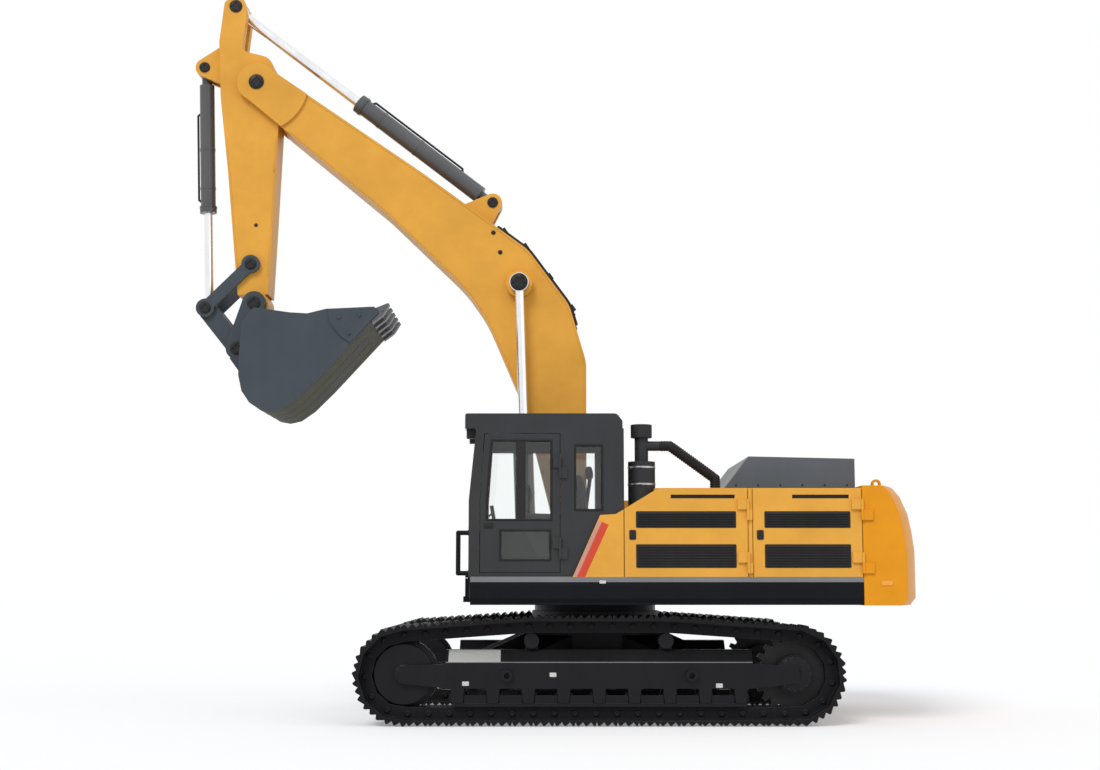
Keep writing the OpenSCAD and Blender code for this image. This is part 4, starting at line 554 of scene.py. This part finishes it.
# Engine hood, air cleaner and exhaust: a pressed hood in grey, a moulded canister and a rubber duct.
# The canister's clamp bands are stainless strip with a screw; the duct has moulded ribs that let it flex.
hood_grey = worn_paint("hood_grey", (0.105, 0.115, 0.128), rough=0.42, dust=0.12, wear=0.2)
moulded_black = worn_paint("moulded_black", (0.022, 0.023, 0.026), rough=0.55, dust=0.12, wear=0.0,
                           grain=220)
rubber_black = worn_paint("rubber_black", (0.012, 0.012, 0.012), rough=0.7, dust=0.12, wear=0.0, grain=160)
band_steel = worn_paint("band_steel", (0.42, 0.42, 0.43), rough=0.3, dust=0.05, wear=0.1, metal=0.9,
                        grain=200)
dress(hood_grey, "engine_hood")
dress(moulded_black, "air_cleaner", "exhaust_pipe")
dress(rubber_black, "intake_duct")
canister, band_heights, upward = np.array([-0.470, 1.190, 0.0]), (2.48, 2.66), (0, 0, 1)
band_rows = [(0.146, 0), (0.149, 0.002), (0.149, 0.022), (0.146, 0.024)]
bands = [turned(band_rows, [canister + [0, 0, z]], upward, 48, True) for z in band_heights]
screws = [canister + [0.03, 0.152, z + 0.012] for z in band_heights]
fit_piece("canister_bands", "upperstructure", band_steel,
          *joined(*bands, turned([(0.009, -0.025), (0.009, 0.025)], screws, (1, 0, 0), 10)), "steel")
rib_rows = [(0.112, 0), (0.1155, 0.003), (0.1155, 0.008), (0.112, 0.011)]
cap_ribs = [turned(rib_rows, [canister + [0, 0, z]], upward, 40, True)
            for z in np.arange(3.000, 3.115, 0.022)]
fit_piece("rain_cap_ribs", "upperstructure", moulded_black, *joined(*cap_ribs), "plastic")
duct = np.array([(-0.6585, 1.19, 2.9043), (-0.7755, 1.19, 2.9043),
                 (-1.269, 1.0472, 2.5648), (-1.269, 1.0472, 2.44)])
duct_rows = [(0.050, -0.008), (0.0575, -0.004), (0.0575, 0.004), (0.050, 0.008)]
rib_step, rib_margin = 0.028, 0.03
rings, ways = [], []
for a, b in zip(duct[:-1], duct[1:]):
    length = np.linalg.norm(b - a)
    t = np.arange(rib_margin, length - rib_margin, rib_step) / length
    rings.append(a + (b - a) * t[:, None])
    ways.append(np.tile((b - a) / length, (len(t), 1)))
fit_piece("duct_ribs", "upperstructure", rubber_black,
          *turned(duct_rows, np.concatenate(rings), np.concatenate(ways), 24, True), "plastic")
hood_side, hood_bolt_height = 0.9895, 2.50
hood_places = [(x, s * hood_side, hood_bolt_height) for x in np.linspace(-2.7, -1.5, 6) for s in (-1, 1)]
hood_ways = [(0, np.sign(place[1]), 0) for place in hood_places]
fit_trim("hood_bolts", "hood",
         turned([(0.011, 0), (0.011, 0.006), (0.008, 0.008)], hood_places, hood_ways, 6))

# Step deck, tool box and handrail on the right: folded steel in satin black, with grip studs on the lid.
# The rail is one bent tube welded to the deck; the tanks behind have moulded screw caps.
dress(deck_black, "tool_box", "tool_box_lid", "handrails")
lid_low, lid_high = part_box("tool_box_lid")
lid_top, lid_step = 1.5325, 0.05
gx, gy = np.meshgrid(np.arange(lid_low[0] + 0.09, lid_high[0] - 0.04, lid_step),
                     np.arange(lid_low[1] + 0.05, lid_high[1] - 0.04, lid_step), indexing="ij")
studs = np.stack([gx.ravel(), gy.ravel(), np.full(gx.size, lid_top)], 1)
fit_piece("lid_grip", "box_lid", lip_sheen_and_stud_grey, *turned(stud_rows, studs, upward, 10), "grey")
tank_places = [(0.42, -1.1, 2.244), (-0.62, -1.1, 2.4175)]
tank_cap_rows = [(0.075, 0), (0.075, 0.03), (0.06, 0.042), (0.02, 0.046)]
fit_trim("tank_caps", "upperstructure", turned(tank_cap_rows, tank_places, upward, 28))

# Cab shell: welded steel panels in dark grey, with bonded glass and rubber seals round the side panes.
# The door hangs on two lift-off hinges and has a recessed handle; its upper pane slides behind a bar.
cab_grey = worn_paint("cab_grey", (0.028, 0.031, 0.035), rough=0.34, dust=0.10, wear=0.18, coat=0.1,
                      bare=(0.14, 0.14, 0.15), shine=0.2)
dress(cab_grey, "cab_floor", "cab_left_wall", "cab_right_wall", "cab_rear_wall", "cab_front_frame",
      "cab_roof", "cab_door")
tinted, node = new_finish("tinted_pane")
film = node("TexNoise", Vector=node("TexCoord").outputs["Object"], Scale=3.0, Detail=5.0)
smear = node("MapRange", Value=film, i1=0.35, i2=0.75, i3=0.0, i4=0.06)
hue = node("Mix", "RGBA", i0=film, i6=(0.93, 0.96, 0.96, 1), i7=(0.97, 0.985, 0.98, 1))
pane = node("BsdfPrincipled", Base_Color=hue, Roughness=smear, IOR=1.45, Transmission_Weight=1.0)
node("OutputMaterial", Surface=pane)
dress(tinted, "cab_glass", "door_glass")
upper_pane = [(0.4941, 2.107), (1.1718, 2.107), (1.1718, 2.313), (1.1222, 2.9438), (0.4941, 2.9438)]
lower_pane = [(0.50625, 1.6886), (1.0292, 1.6886), (1.0292, 1.9986), (0.50625, 1.9986)]
quarter_pane = [(-0.0405, 2.2104), (0.243, 2.2104), (0.243, 2.8919), (-0.0405, 2.8919)]
right_pane = [(0.0, 2.0262), (1.1977, 2.0262), (1.1977, 2.313), (1.1574, 2.8919), (0.0, 2.8919)]
bead = [(-0.012, -0.004), (0.012, -0.004), (0.012, 0.002), (0.005, 0.007), (-0.005, 0.007), (-0.012, 0.002)]
cab_left, cab_right, cab_front, roof_top = 1.466, 0.512, 1.3606, 3.229


def pane_seal(outline, y, side):
    """Rubber bead carried round a pane's outline on the outer face at station y."""
    path = [(x, y, z) for x, z in outline]
    return swept(path, [(u, side * v) for u, v in bead], (0, 1, 0), True)


fit_piece("door_seals", "door", rubber_black,
          *joined(pane_seal(upper_pane, cab_left, 1), pane_seal(lower_pane, cab_left, 1)), "black")
fit_piece("cab_seals", "upperstructure", rubber_black,
          *joined(pane_seal(quarter_pane, cab_left, 1), pane_seal(right_pane, cab_right, -1)), "black")
fit_trim("slider_bar", "door", slab(rounded_box(0.765, 0.865, 2.100, 2.950, 0.008), 1.4545, 1.4695))
handle = joined(slab(rounded_box(1.10, 1.205, 2.02, 2.075, 0.014), 1.4655, 1.4725),
                slab(rounded_box(1.115, 1.19, 2.036, 2.056, 0.008), 1.4720, 1.4850))
fit_trim("door_handle", "door", handle)
forward, rail_side, rail_heights = (1, 0, 0), 1.436, (1.5525, 1.9725)
rail_feet = [(cab_front, rail_side, z) for z in rail_heights]
fit_piece("grab_flanges", "upperstructure", deck_black,
          *turned([(0.029, 0), (0.029, 0.007), (0.026, 0.010)], rail_feet, forward, 24), "black")
wiper_arm = [(1.3665, 0.99, 1.80), (1.3665, 1.10, 2.12), (1.3665, 1.14, 2.26)]
wiper_blade = [(1.3655, 1.10, 1.86), (1.3655, 1.17, 2.24)]
wiper_hub = turned([(0.028, -0.004), (0.028, 0.010), (0.018, 0.016)], [(1.3612, 0.99, 1.80)], forward, 20)
fit_trim("wiper", "upperstructure",
         joined(swept(wiper_arm, disc(0.007, 8), forward), swept(wiper_blade, disc(0.005, 8), forward),
                wiper_hub))
hatch = rounded_box(0.25, 1.05, 0.62, 1.36, 0.06)
hatch_rim = np.stack([hatch[:, 0], hatch[:, 1], np.full(len(hatch), roof_top - 0.0005)], 1)
hatch_rows = [(-0.014, 0), (0.014, 0), (0.010, -0.010), (-0.010, -0.010)]
fit_piece("roof_hatch_seal", "upperstructure", rubber_black,
          *swept(hatch_rim, hatch_rows, (0, 0, -1), True), "black")

# Operator's chair: foam cushions in woven cloth on a pedestal, with a headrest on a bar behind the back.
# Each cushion is crowned between its corners, blown up by its filling, and has a sewn seam round its edge.
cloth, node = new_finish("woven_cloth")
threads = node("TexCoord").outputs["Object"]
warp = node("TexWave", "X", Vector=threads, Scale=160.0, Distortion=0.4).outputs["Fac"]
weft = node("TexWave", "Y", Vector=threads, Scale=160.0, Distortion=0.4).outputs["Fac"]
weave = node("Math", "ADD", i0=warp, i1=weft)
shade = node("Mix", "RGBA", i0=weave, i6=(0.018, 0.018, 0.021, 1), i7=(0.05, 0.05, 0.056, 1))
nap = node("Bump", Strength=0.4, Distance=0.002, Height=weave)
woven = node("BsdfPrincipled", Base_Color=shade, Roughness=0.85, Normal=nap, Sheen_Weight=0.3)
node("OutputMaterial", Surface=woven)


def puffed(points, faces, voxel=0.008, pressure=4.0, most=0.007, frames=20):
    """The pad's cover blown up by its filling: an even voxel mesh, cloth under inner pressure with no gravity
    for a few frames, and each point's move shortened to a cap: p + m * min(1, most / |m|)."""
    pad = plain_mesh("pad_cover", points, faces, 0)
    skin_of_pad = pad.modifiers.new("skin", "REMESH")
    skin_of_pad.mode = "VOXEL"
    skin_of_pad.voxel_size = voxel
    even = bpy.data.meshes.new_from_object(pad.evaluated_get(bpy.context.evaluated_depsgraph_get()))
    pad.modifiers.clear()
    pad.data = even
    still = np.array([v.co for v in even.vertices])
    cover = pad.modifiers.new("cover", "CLOTH")
    cover.settings.use_pressure = True
    cover.settings.uniform_pressure_force = pressure
    cover.settings.effector_weights.gravity = 0.0
    cover.point_cache.frame_start, cover.point_cache.frame_end = 1, frames
    for step in range(1, frames + 1):
        studio.frame_set(step)
    blown = pad.evaluated_get(bpy.context.evaluated_depsgraph_get()).data
    move = np.array([v.co for v in blown.vertices]) - still
    rows = [list(f.vertices) for f in even.polygons]
    bpy.data.objects.remove(pad)
    studio.frame_set(1)
    far = np.linalg.norm(move, axis=1, keepdims=True)
    return still + move * np.minimum(1, most / np.maximum(far, 1e-9)), rows


def cushion(centre, half, lean=0.0, crown=0.12, swell=0.004, turns=48, rows=28):
    """Superellipsoid pad: (|x/a|^5 + |y/b|^5)^(8/9) + |z/c|^(40/11) = 1, crowned by a share of its thickness,
    blown up by its filling, drawn in by a sewn groove round its upper edge, and leant back about Y."""
    a = np.linspace(0, 2 * math.pi, turns, endpoint=False)
    b = np.linspace(-math.pi / 2, math.pi / 2, rows + 2)[1:-1]
    power = lambda t, e: np.sign(t) * np.abs(t) ** e
    ring = power(np.cos(b), 0.45)[:, None]
    x, y = ring * power(np.cos(a), 0.4), ring * power(np.sin(a), 0.4)
    z = np.repeat(power(np.sin(b), 0.55)[:, None], turns, 1)
    z = z * (1 + crown * (1 - x ** 2) * (1 - y ** 2)) / (1 + crown)
    local = (np.stack([x, y, z], -1) * (np.array(half) - swell)).reshape(-1, 3)
    faces = ring_faces(rows, turns).tolist()
    faces += [list(range(turns))[::-1], list(range((rows - 1) * turns, rows * turns))]
    local, faces = puffed(local, faces)
    groove = 1 - 0.05 * np.exp(-((local[:, 2:] / half[2] - 0.35) / 0.09) ** 2)
    local = local * np.concatenate([groove, groove, np.ones_like(groove)], 1)
    c, s = math.cos(lean), math.sin(lean)
    return local @ np.array([[c, 0, -s], [0, 1, 0], [s, 0, c]]) + np.asarray(centre, float), faces


chair_y, back_lean = 0.989, math.radians(-82)
cushions = (("seat_cushion", (0.475, chair_y, 1.965), (0.245, 0.235, 0.075), 0.0),
            ("back_cushion", (0.175, chair_y, 2.325), (0.29, 0.235, 0.065), back_lean),
            ("head_cushion", (0.085, chair_y, 2.625), (0.075, 0.14, 0.042), back_lean))
for name, centre, half, lean in cushions:
    pad = fit_piece(name, "upperstructure", cloth, *cushion(centre, half, lean), "chair")
    pad.modifiers.new("round", "SUBSURF").levels = 1
    pad.modifiers["round"].render_levels = 1
base_forms = (([(0.20, 1.5605), (0.62, 1.5605), (0.56, 1.62), (0.26, 1.62)], 0.17),
              ([(0.30, 1.619), (0.54, 1.619), (0.52, 1.86), (0.32, 1.86)], 0.13),
              ([(0.22, 1.859), (0.70, 1.859), (0.71, 1.895), (0.20, 1.895)], 0.22),
              ([(0.050, 2.62), (0.090, 2.62), (0.168, 2.06), (0.262, 1.88), (0.205, 1.88), (0.128, 2.04)],
               0.05))
base = joined(*[slab(rim, chair_y - half, chair_y + half) for rim, half in base_forms])
pedestal = fit_piece("chair_base", "upperstructure", moulded_black, *base, "plastic")
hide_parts("operator_chair")

# Consoles, levers, pedals and work lamps: moulded plastic boxes, with rubber boots round the levers.
# A small screen stands on a bent arm by the right pillar, and the lamps have clear ribbed lenses.
dress(moulded_black, "consoles", "work_lamps")
lever_x, lever_out, pedal_out, pedal_half = 0.7486, 0.248 + 0.0706 + 0.006, 0.11, 0.05
boot_rows = [(0.042, 0), (0.034, 0.02), (0.038, 0.03), (0.026, 0.05), (0.02, 0.07)]
knob_rows = [(0.020, 0), (0.027, 0.03), (0.030, 0.08), (0.024, 0.115), (0.008, 0.122)]
pedal = rounded_box(1.02, 1.16, 1.5602, 1.585, 0.01)
levers, pads = [], []
for side in (-1, 1):
    y, middle = chair_y + side * lever_out, chair_y + side * pedal_out
    levers += [turned(rows, [(lever_x, y, z)], upward, 24)
               for rows, z in ((boot_rows, 2.143), (knob_rows, 2.36))]
    pads.append(slab(pedal, middle - pedal_half, middle + pedal_half))
fit_piece("lever_boots", "upperstructure", rubber_black, *joined(*levers), "plastic")
fit_piece("pedals", "upperstructure", rubber_black, *joined(*pads), "plastic")
screen = slab([(1.10, 2.12), (1.135, 2.11), (1.165, 2.28), (1.13, 2.29)], 0.62, 0.82)
screen_arm = swept([(1.15, 0.70, 2.2), (1.20, 0.62, 2.16), (1.22, 0.575, 2.16)], disc(0.012, 10), upward)
fit_piece("monitor", "upperstructure", moulded_black, *joined(screen, screen_arm), "plastic")
lens, node = new_finish("lamp_lens")
rib = node("TexWave", "Y", Vector=node("TexCoord").outputs["Object"], Scale=40.0).outputs["Fac"]
ribs = node("Bump", Strength=0.5, Distance=0.003, Height=rib)
lens_tone = node("Mix", "RGBA", i0=rib, i6=(0.66, 0.69, 0.70, 1), i7=(0.80, 0.81, 0.82, 1))
clear = node("BsdfPrincipled", Base_Color=lens_tone, Roughness=0.08, Normal=ribs, Coat_Weight=1.0)
node("OutputMaterial", Surface=clear)
lamp_low, lamp_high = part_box("work_lamps")
lens_rim, lens_width, lens_wall = 0.006, 0.09, 0.005
lenses = []
for y in (0.632, 1.25):
    rim = rounded_box(y + lens_rim, y + lens_width, lamp_low[2] + lens_rim, lamp_high[2] - lens_rim, 0.02)
    near = np.stack([np.full(len(rim), lamp_high[0] - 0.0005), rim[:, 0], rim[:, 1]], 1)
    lenses.append(prism(near, (lens_wall, 0, 0), True))
fit_piece("lamp_lenses", "upperstructure", lens, *joined(*lenses), "glass")

# Boom: a welded box of steel plate in gloss yellow, bent once, with fillet welds along its side plates.
# Hydraulic pipes follow its back in clamps, and pins in the foot and tip are held by bolted caps.
dress(body_yellow, "boom", "stick")
dress(trim_black, "boom_pipes")
boom_foot, boom_angle, boom_length, boom_half = np.array([0.260, 2.000]), math.radians(55.0), 6.380, 0.250
boom_axes = np.array([[math.cos(boom_angle), math.sin(boom_angle)],
                      [-math.sin(boom_angle), math.cos(boom_angle)]])
boom_shares = [(0, -0.029), (0.235, 0.06), (0.4, 0.0945), (0.47, 0.0945), (0.66, 0.0575), (1, -0.036),
               (1, 0.036), (0.69, 0.151), (0.4624, 0.2273), (0.337, 0.2304), (0.235, 0.196), (0, 0.0313)]
boom_bends = [0.9 * b for b in (0, 1.6, 1.9, 1.9, 1.9, 0, 0, 1, 0.5, 0.5, 0.6, 0)]
weld_bead = [(-0.009, -0.002), (0.009, -0.002), (0.006, 0.004), (0.0, 0.006), (-0.006, 0.004)]
weld_inset = 0.020


def at_boom(u, v):
    """Side-view point at shares u along the boom and v above its axis."""
    return boom_foot + boom_length * (np.array([u, v]) @ boom_axes)


def rounded_line(points, radii, steps=8):
    """Closed outline whose corners are arcs, each centred on the bisector at radius / sin(half angle)."""
    points, rows, n = np.asarray(points, float), [], len(points)
    for k in range(n):
        q, r = points[k], radii[k]
        if r == 0:
            rows.append(q[None])
            continue
        a, b = unit(points[k - 1] - q), unit(points[(k + 1) % n] - q)
        half = 0.5 * math.acos(np.clip(a @ b, -1, 1))
        middle = q + unit(a + b) * r / math.sin(half)
        p, s = q + a * r / math.tan(half) - middle, q + b * r / math.tan(half) - middle
        start = math.atan2(p[1], p[0])
        turn = (math.atan2(s[1], s[0]) - start + math.pi) % (2 * math.pi) - math.pi
        t = start + turn * np.linspace(0, 1, steps)
        rows.append(middle + r * np.stack([np.cos(t), np.sin(t)], 1))
    return np.concatenate(rows)


def dense_line(outline, steps):
    """A closed outline with each of its edges cut into equal steps."""
    shares = np.linspace(0, 1, steps, endpoint=False)[:, None]
    return np.concatenate([a + (b - a) * shares for a, b in zip(outline, np.roll(outline, -1, 0))])


def inside_line(outline, depth):
    """The outline moved inward by a depth along the mean of its neighbouring edge normals."""
    ahead = unit(np.roll(outline, -1, 0) - outline)
    mean = unit(ahead + np.roll(ahead, 1, 0))
    return outline + np.stack([-mean[:, 1], mean[:, 0]], 1) * depth * np.sign(turned_area(outline))


def weld_runs(outline, half, keep):
    """Weld beads on both outer faces, along the part of an outline that a mask keeps."""
    line = inside_line(outline, weld_inset)
    where = np.flatnonzero(keep(line))
    runs = [r for r in np.split(where, np.flatnonzero(np.diff(where) > 1) + 1) if len(r) > 2]
    paths = [(side, [(line[k, 0], side * half, line[k, 1]) for k in r]) for side in (1, -1) for r in runs]
    return joined(*[swept(path, [(u, side * v) for u, v in weld_bead], (0, 1, 0)) for side, path in paths])


def away(line, place):
    """How far each point of a line lies from a place."""
    return np.linalg.norm(line - place, axis=1)


def clear_of_bosses(line, from_tip=0.62, from_foot=0.26):
    """True where a point lies farther than these from the boom's tip and its foot."""
    return (away(line, tip) > from_tip) & (away(line, boom_foot) > from_foot)


def pin_cap(place, y, radius, bolts=4):
    """A turned cap over a pin's end at station y, with its ring of bolts."""
    side = np.sign(y)
    rows = [(radius, -0.003), (radius, 0.010), (0.9 * radius, 0.016), (0.45 * radius, 0.018),
            (0.4 * radius, 0.012), (0.004, 0.012)]
    cap = turned(rows, [(place[0], y, place[1])], (0, side, 0), 32)
    ring = bolt_ring((place[0], y + side * 0.015, place[1]), (0, side, 0), 0.68 * radius, bolts, 0.011)
    return joined(cap, ring)


def pin_caps(places, y, radius):
    """Caps on both ends of the pins at these places."""
    return joined(*[pin_cap(place, side * y, radius) for place in places for side in (1, -1)])


tip = boom_foot + boom_length * boom_axes[0]
boom_rod_pin, arm_base = at_boom(0.4174, 0.1777), at_boom(0.5738, 0.227)
boom_line = rounded_line([at_boom(*s) for s in boom_shares], boom_bends)
fit_piece("boom_welds", "boom_arm", body_yellow,
          *weld_runs(dense_line(boom_line, 24), boom_half, clear_of_bosses), "yellow")
clamp_shares = ((0.33, 0.2295), (0.40, 0.2292), (0.47, 0.2253), (0.515, 0.2102))
clamp_side, clamp_half = 0.175, 0.028
clamp_rows = np.array([(-0.04, -0.012), (0.04, -0.012), (0.04, 0.045), (-0.04, 0.045)]) @ boom_axes
clamps = [slab(clamp_rows + at_boom(u, v), y - clamp_half, y + clamp_half)
          for u, v in clamp_shares for y in (-clamp_side, clamp_side)]
fit_trim("pipe_clamps", "boom_arm", joined(*clamps))
fit_trim("boom_tip_caps", "boom_arm",
         joined(pin_caps([tip], 0.280, 0.088), pin_caps([arm_base], 0.121, 0.062)))
fit_trim("boom_foot_caps", "upperstructure", pin_caps([boom_foot], 0.341, 0.088))
lube_rows = [(0.026, -0.002), (0.026, 0.006), (0.020, 0.009), (0.010, 0.010), (0.008, 0.022)]
lube_places = [(x, side * boom_half, z) for x, z in ((1.080, 5.215), (1.159, 5.445)) for side in (1, -1)]
lube_ways = [(0, np.sign(place[1]), 0) for place in lube_places]
fit_trim("boom_lube_points", "boom_arm", turned(lube_rows, lube_places, lube_ways, 20))

# Cylinders: honed steel barrels in dark grey paint with screwed glands, and hard-chromed rods.
# Each barrel has a steel pipe along it, held by two straps, and a bolted gland with a clamp band.
barrel_grey = worn_paint("barrel_grey", (0.085, 0.088, 0.094), rough=0.3, dust=0.07, wear=0.2, coat=0.3)
dress(barrel_grey, "boom_barrel_left", "boom_barrel_right", "arm_barrel", "bucket_barrel")
chrome, node = new_finish("hard_chrome")
oil = node("TexNoise", Vector=node("TexCoord").outputs["Object"], Scale=7.0, Detail=6.0)
sheen = node("MapRange", Value=oil, i1=0.3, i2=0.7, i3=0.10, i4=0.24)
rod_tone = node("Mix", "RGBA", i0=oil, i6=(0.78, 0.79, 0.81, 1), i7=(0.90, 0.90, 0.91, 1))
plated = node("BsdfPrincipled", Base_Color=rod_tone, Metallic=0.9, Roughness=sheen)
node("OutputMaterial", Surface=plated)
dress(chrome, "boom_rod_left", "boom_rod_right", "arm_rod", "bucket_rod")
boom_base, stick_lean, stick_length = np.array([0.745, 1.450]), math.radians(0.6), 2.600
stick_axes = np.array([[-math.sin(stick_lean), -math.cos(stick_lean)],
                       [math.cos(stick_lean), -math.sin(stick_lean)]])


def at_stick(u, v):
    """Side-view point at shares u down the stick and v ahead of its axis."""
    return tip + stick_length * (np.array([u, v]) @ stick_axes)


def swung(pin, length, fall):
    """The point a length away from a pin, on a line that falls forwards by an angle in degrees."""
    return pin + length * np.array([math.cos(math.radians(fall)), -math.sin(math.radians(fall))])


def strap(radius, width, slant):
    """Rows of a flat band round a cylinder, let into it and standing out with slanted edges."""
    inner, outer = radius - 0.003, radius + 0.004
    return [(inner, 0), (outer, slant), (outer, width - slant), (inner, width)]


arm_pin, curl_base = at_stick(-0.3623, 0.1023), at_stick(-0.0888, 0.2453)
rocker_pin, bucket_pin = at_stick(0.825, 0.0181), at_stick(1, 0)
knee, link_pin = swung(rocker_pin, 0.720, 45), swung(bucket_pin, 0.558, 70.9)
cylinders = (("lift_barrel_left", boom_base, boom_rod_pin, 0.400, 0.092, 1.850, -1),
             ("lift_barrel_right", boom_base, boom_rod_pin, -0.400, 0.092, 1.850, -1),
             ("crowd_barrel", arm_base, arm_pin, 0.0, 0.100, 2.000, 1),
             ("curl_barrel", curl_base, knee, 0.0, 0.086, 1.720, 1))
gland_share, strap_shares, pipe_start, pipe_radius = 1.14, (0.55, 0.82), 0.52, 0.013
for body, base_pin, far_pin, y, radius, length, face in cylinders:
    way = unit(far_pin - base_pin)
    along, out = np.array([way[0], 0, way[1]]), np.array([-way[1], 0, way[0]]) * face
    start = np.array([base_pin[0], y, base_pin[1]])
    gland, collar = start + along * length, gland_share * radius
    band = turned(strap(collar, 0.023, 0.003), [gland - along * 0.075], along, 40, True)
    bolts = bolt_ring(gland - along * 0.006, along, 0.95 * radius, 8, 0.009)
    strap_places = [start + along * share * length for share in strap_shares]
    straps = turned(strap(radius, 0.035, 0.002), strap_places, along, 40, True)
    fit_piece(f"fittings_{body}", body, barrel_grey, *joined(band, bolts, straps), "grey")
    seat, rise = radius - 0.01, radius + 0.022
    route = ((pipe_start, seat), (pipe_start + 0.03, rise), (length - 0.16, rise), (length - 0.13, seat))
    pipe = [start + along * far + out * lift for far, lift in route]
    fit_trim(f"pipe_{body}", body, swept(pipe, disc(pipe_radius, 12), (0, 1, 0)))
for side, side_name in both_sides:
    body = f"lift_rod_{side_name}"
    fit_trim(f"eye_caps_{body}", body, pin_cap(boom_rod_pin, side * 0.454, 0.100, 6))
across = [(0, 1, 0), (0, -1, 0)]
base_ends = [(boom_base[0], side * 0.506, boom_base[1]) for side in (1, -1)]
fit_trim("base_pin_discs", "upperstructure",
         turned([(0.062, -0.003), (0.062, 0.003), (0.054, 0.0045)], base_ends, across, 32))

# Stick: a welded box of steel plate in the boom's yellow, with pinned bosses at its nose.
# Its tail is slotted for the arm cylinder's eye, and two lugs on its front carry the bucket cylinder.
stick_half = 0.200
stick_shares = [(0.96, 0.077), (0.4, 0.1273), (0.0577, 0.1654), (-0.2, 0.175), (-0.392, 0.152),
                (-0.407, 0.068), (-0.33, 0.052), (-0.155, 0.073), (-0.12, -0.06), (0.0769, -0.1008),
                (0.4019, -0.0854), (0.96, -0.058)]
stick_bends = [0.16 * b for b in (0, 1, 1, 1, 0.4, 0.4, 1, 0.5, 1, 1, 1, 0)]


def below_tail(line, from_tip=0.60, from_nose=0.30):
    """True where a point lies clear of the boom's fork and the nose bosses."""
    return (line[:, 1] < tip[1] - from_tip) & (away(line, bucket_pin) > from_nose)


stick_line = rounded_line([at_stick(*s) for s in stick_shares], stick_bends)
fit_piece("stick_welds", "stick_arm", body_yellow,
          *weld_runs(dense_line(stick_line, 20), stick_half, below_tail), "yellow")
fit_trim("stick_pin_caps", "stick_arm",
         joined(pin_caps([arm_pin], stick_half, 0.075), pin_caps([curl_base], 0.121, 0.062)))
lube_places = [(3.900, side * stick_half, 5.544) for side in (1, -1)]
fit_trim("stick_lube_points", "stick_arm",
         turned([(0.022, -0.002), (0.022, 0.003), (0.016, 0.004)], lube_places, across, 20))

# Bucket linkage: a pair of forged rockers and a cast link in blue-grey paint.
# They turn on hardened pins, each held by a cap and four bolts.
bucket_grey = worn_paint("bucket_grey", (0.060, 0.074, 0.088), rough=0.4, dust=0.14, wear=0.55,
                         bare=(0.28, 0.28, 0.28), grain=60, shine=0.1, soil=0.85)
dress(bucket_grey, "rockers", "bucket_link", "bucket")
fit_trim("rocker_pin_caps", "rocker_pair", pin_caps([rocker_pin, knee], 0.251, 0.066))
fit_trim("bucket_pin_caps", "bucket_body", pin_caps([bucket_pin, link_pin], 0.271, 0.075))

# Bucket: rolled shell and welded side plates, with wear straps, bolted side cutters and cast teeth.
# The paint is scraped at the edges and soil clings underneath; cross pins hold the raw steel teeth.
tooth_steel = worn_paint("tooth_steel", (0.11, 0.112, 0.122), rough=0.42, dust=0.12, wear=0.5, metal=0.5,
                         bare=(0.34, 0.33, 0.33), grain=70)
dress(tooth_steel, "bucket_teeth")
bucket_reach, tooth_count, tooth_span, tooth_half = 1.617, 5, 1.29, 0.054
heel_shares = ((0.0447, -0.50), (0.045, -0.55), (0.02, -0.66), (-0.035, -0.74), (-0.11, -0.79),
               (-0.18, -0.803), (-0.26, -0.785), (-0.36, -0.715), (-0.5, -0.575), (-0.80, -0.2464))
cutter_shares = ((-0.56, -0.094), (-0.875, -0.080), (-0.915, -0.115), (-0.72, -0.329), (-0.65, -0.28),
                 (-0.58, -0.19))
cutter_bolt_shares = ((-0.64, -0.15), (-0.78, -0.135), (-0.71, -0.26))
wear_rows = [(0.002, -0.045), (-0.016, -0.045), (-0.016, 0.045), (0.002, 0.045)]
wear_stations, cutter_inner, cutter_outer = (-0.56, -0.19, 0.19, 0.56), 0.6995, 0.716


def at_bucket(shares):
    """Side-view points at shares of the bucket's reach from its pin."""
    return bucket_pin + bucket_reach * np.array(shares)


straps = [swept([(x, y, z) for x, z in at_bucket(heel_shares)], wear_rows, (0, 1, 0)) for y in wear_stations]
fit_piece("wear_straps", "bucket_body", bucket_grey, *joined(*straps), "blue_grey")
parts = []
for side in (-1, 1):
    parts.append(side_slab(at_bucket(cutter_shares), side, cutter_inner, cutter_outer))
    heads = [(x, side * cutter_outer, z) for x, z in at_bucket(cutter_bolt_shares)]
    parts.append(turned([(0.022, 0), (0.022, 0.016), (0.017, 0.020)], heads, (0, side, 0), 6))
fit_piece("side_cutters", "bucket_body", bucket_grey, *joined(*parts), "blue_grey")
pin_x, pin_z = at_bucket((-0.938, -0.100))
tooth_middles = (np.arange(tooth_count) / (tooth_count - 1) - 0.5) * tooth_span
pin_places = [(pin_x, y + s * tooth_half, pin_z) for y in tooth_middles for s in (-1, 1)]
pin_ways = [(0, s, 0) for _ in tooth_middles for s in (-1, 1)]
fit_piece("tooth_pins", "bucket_body", tooth_steel,
          *turned([(0.015, -0.002), (0.015, 0.006), (0.010, 0.009)], pin_places, pin_ways, 14), "steel")
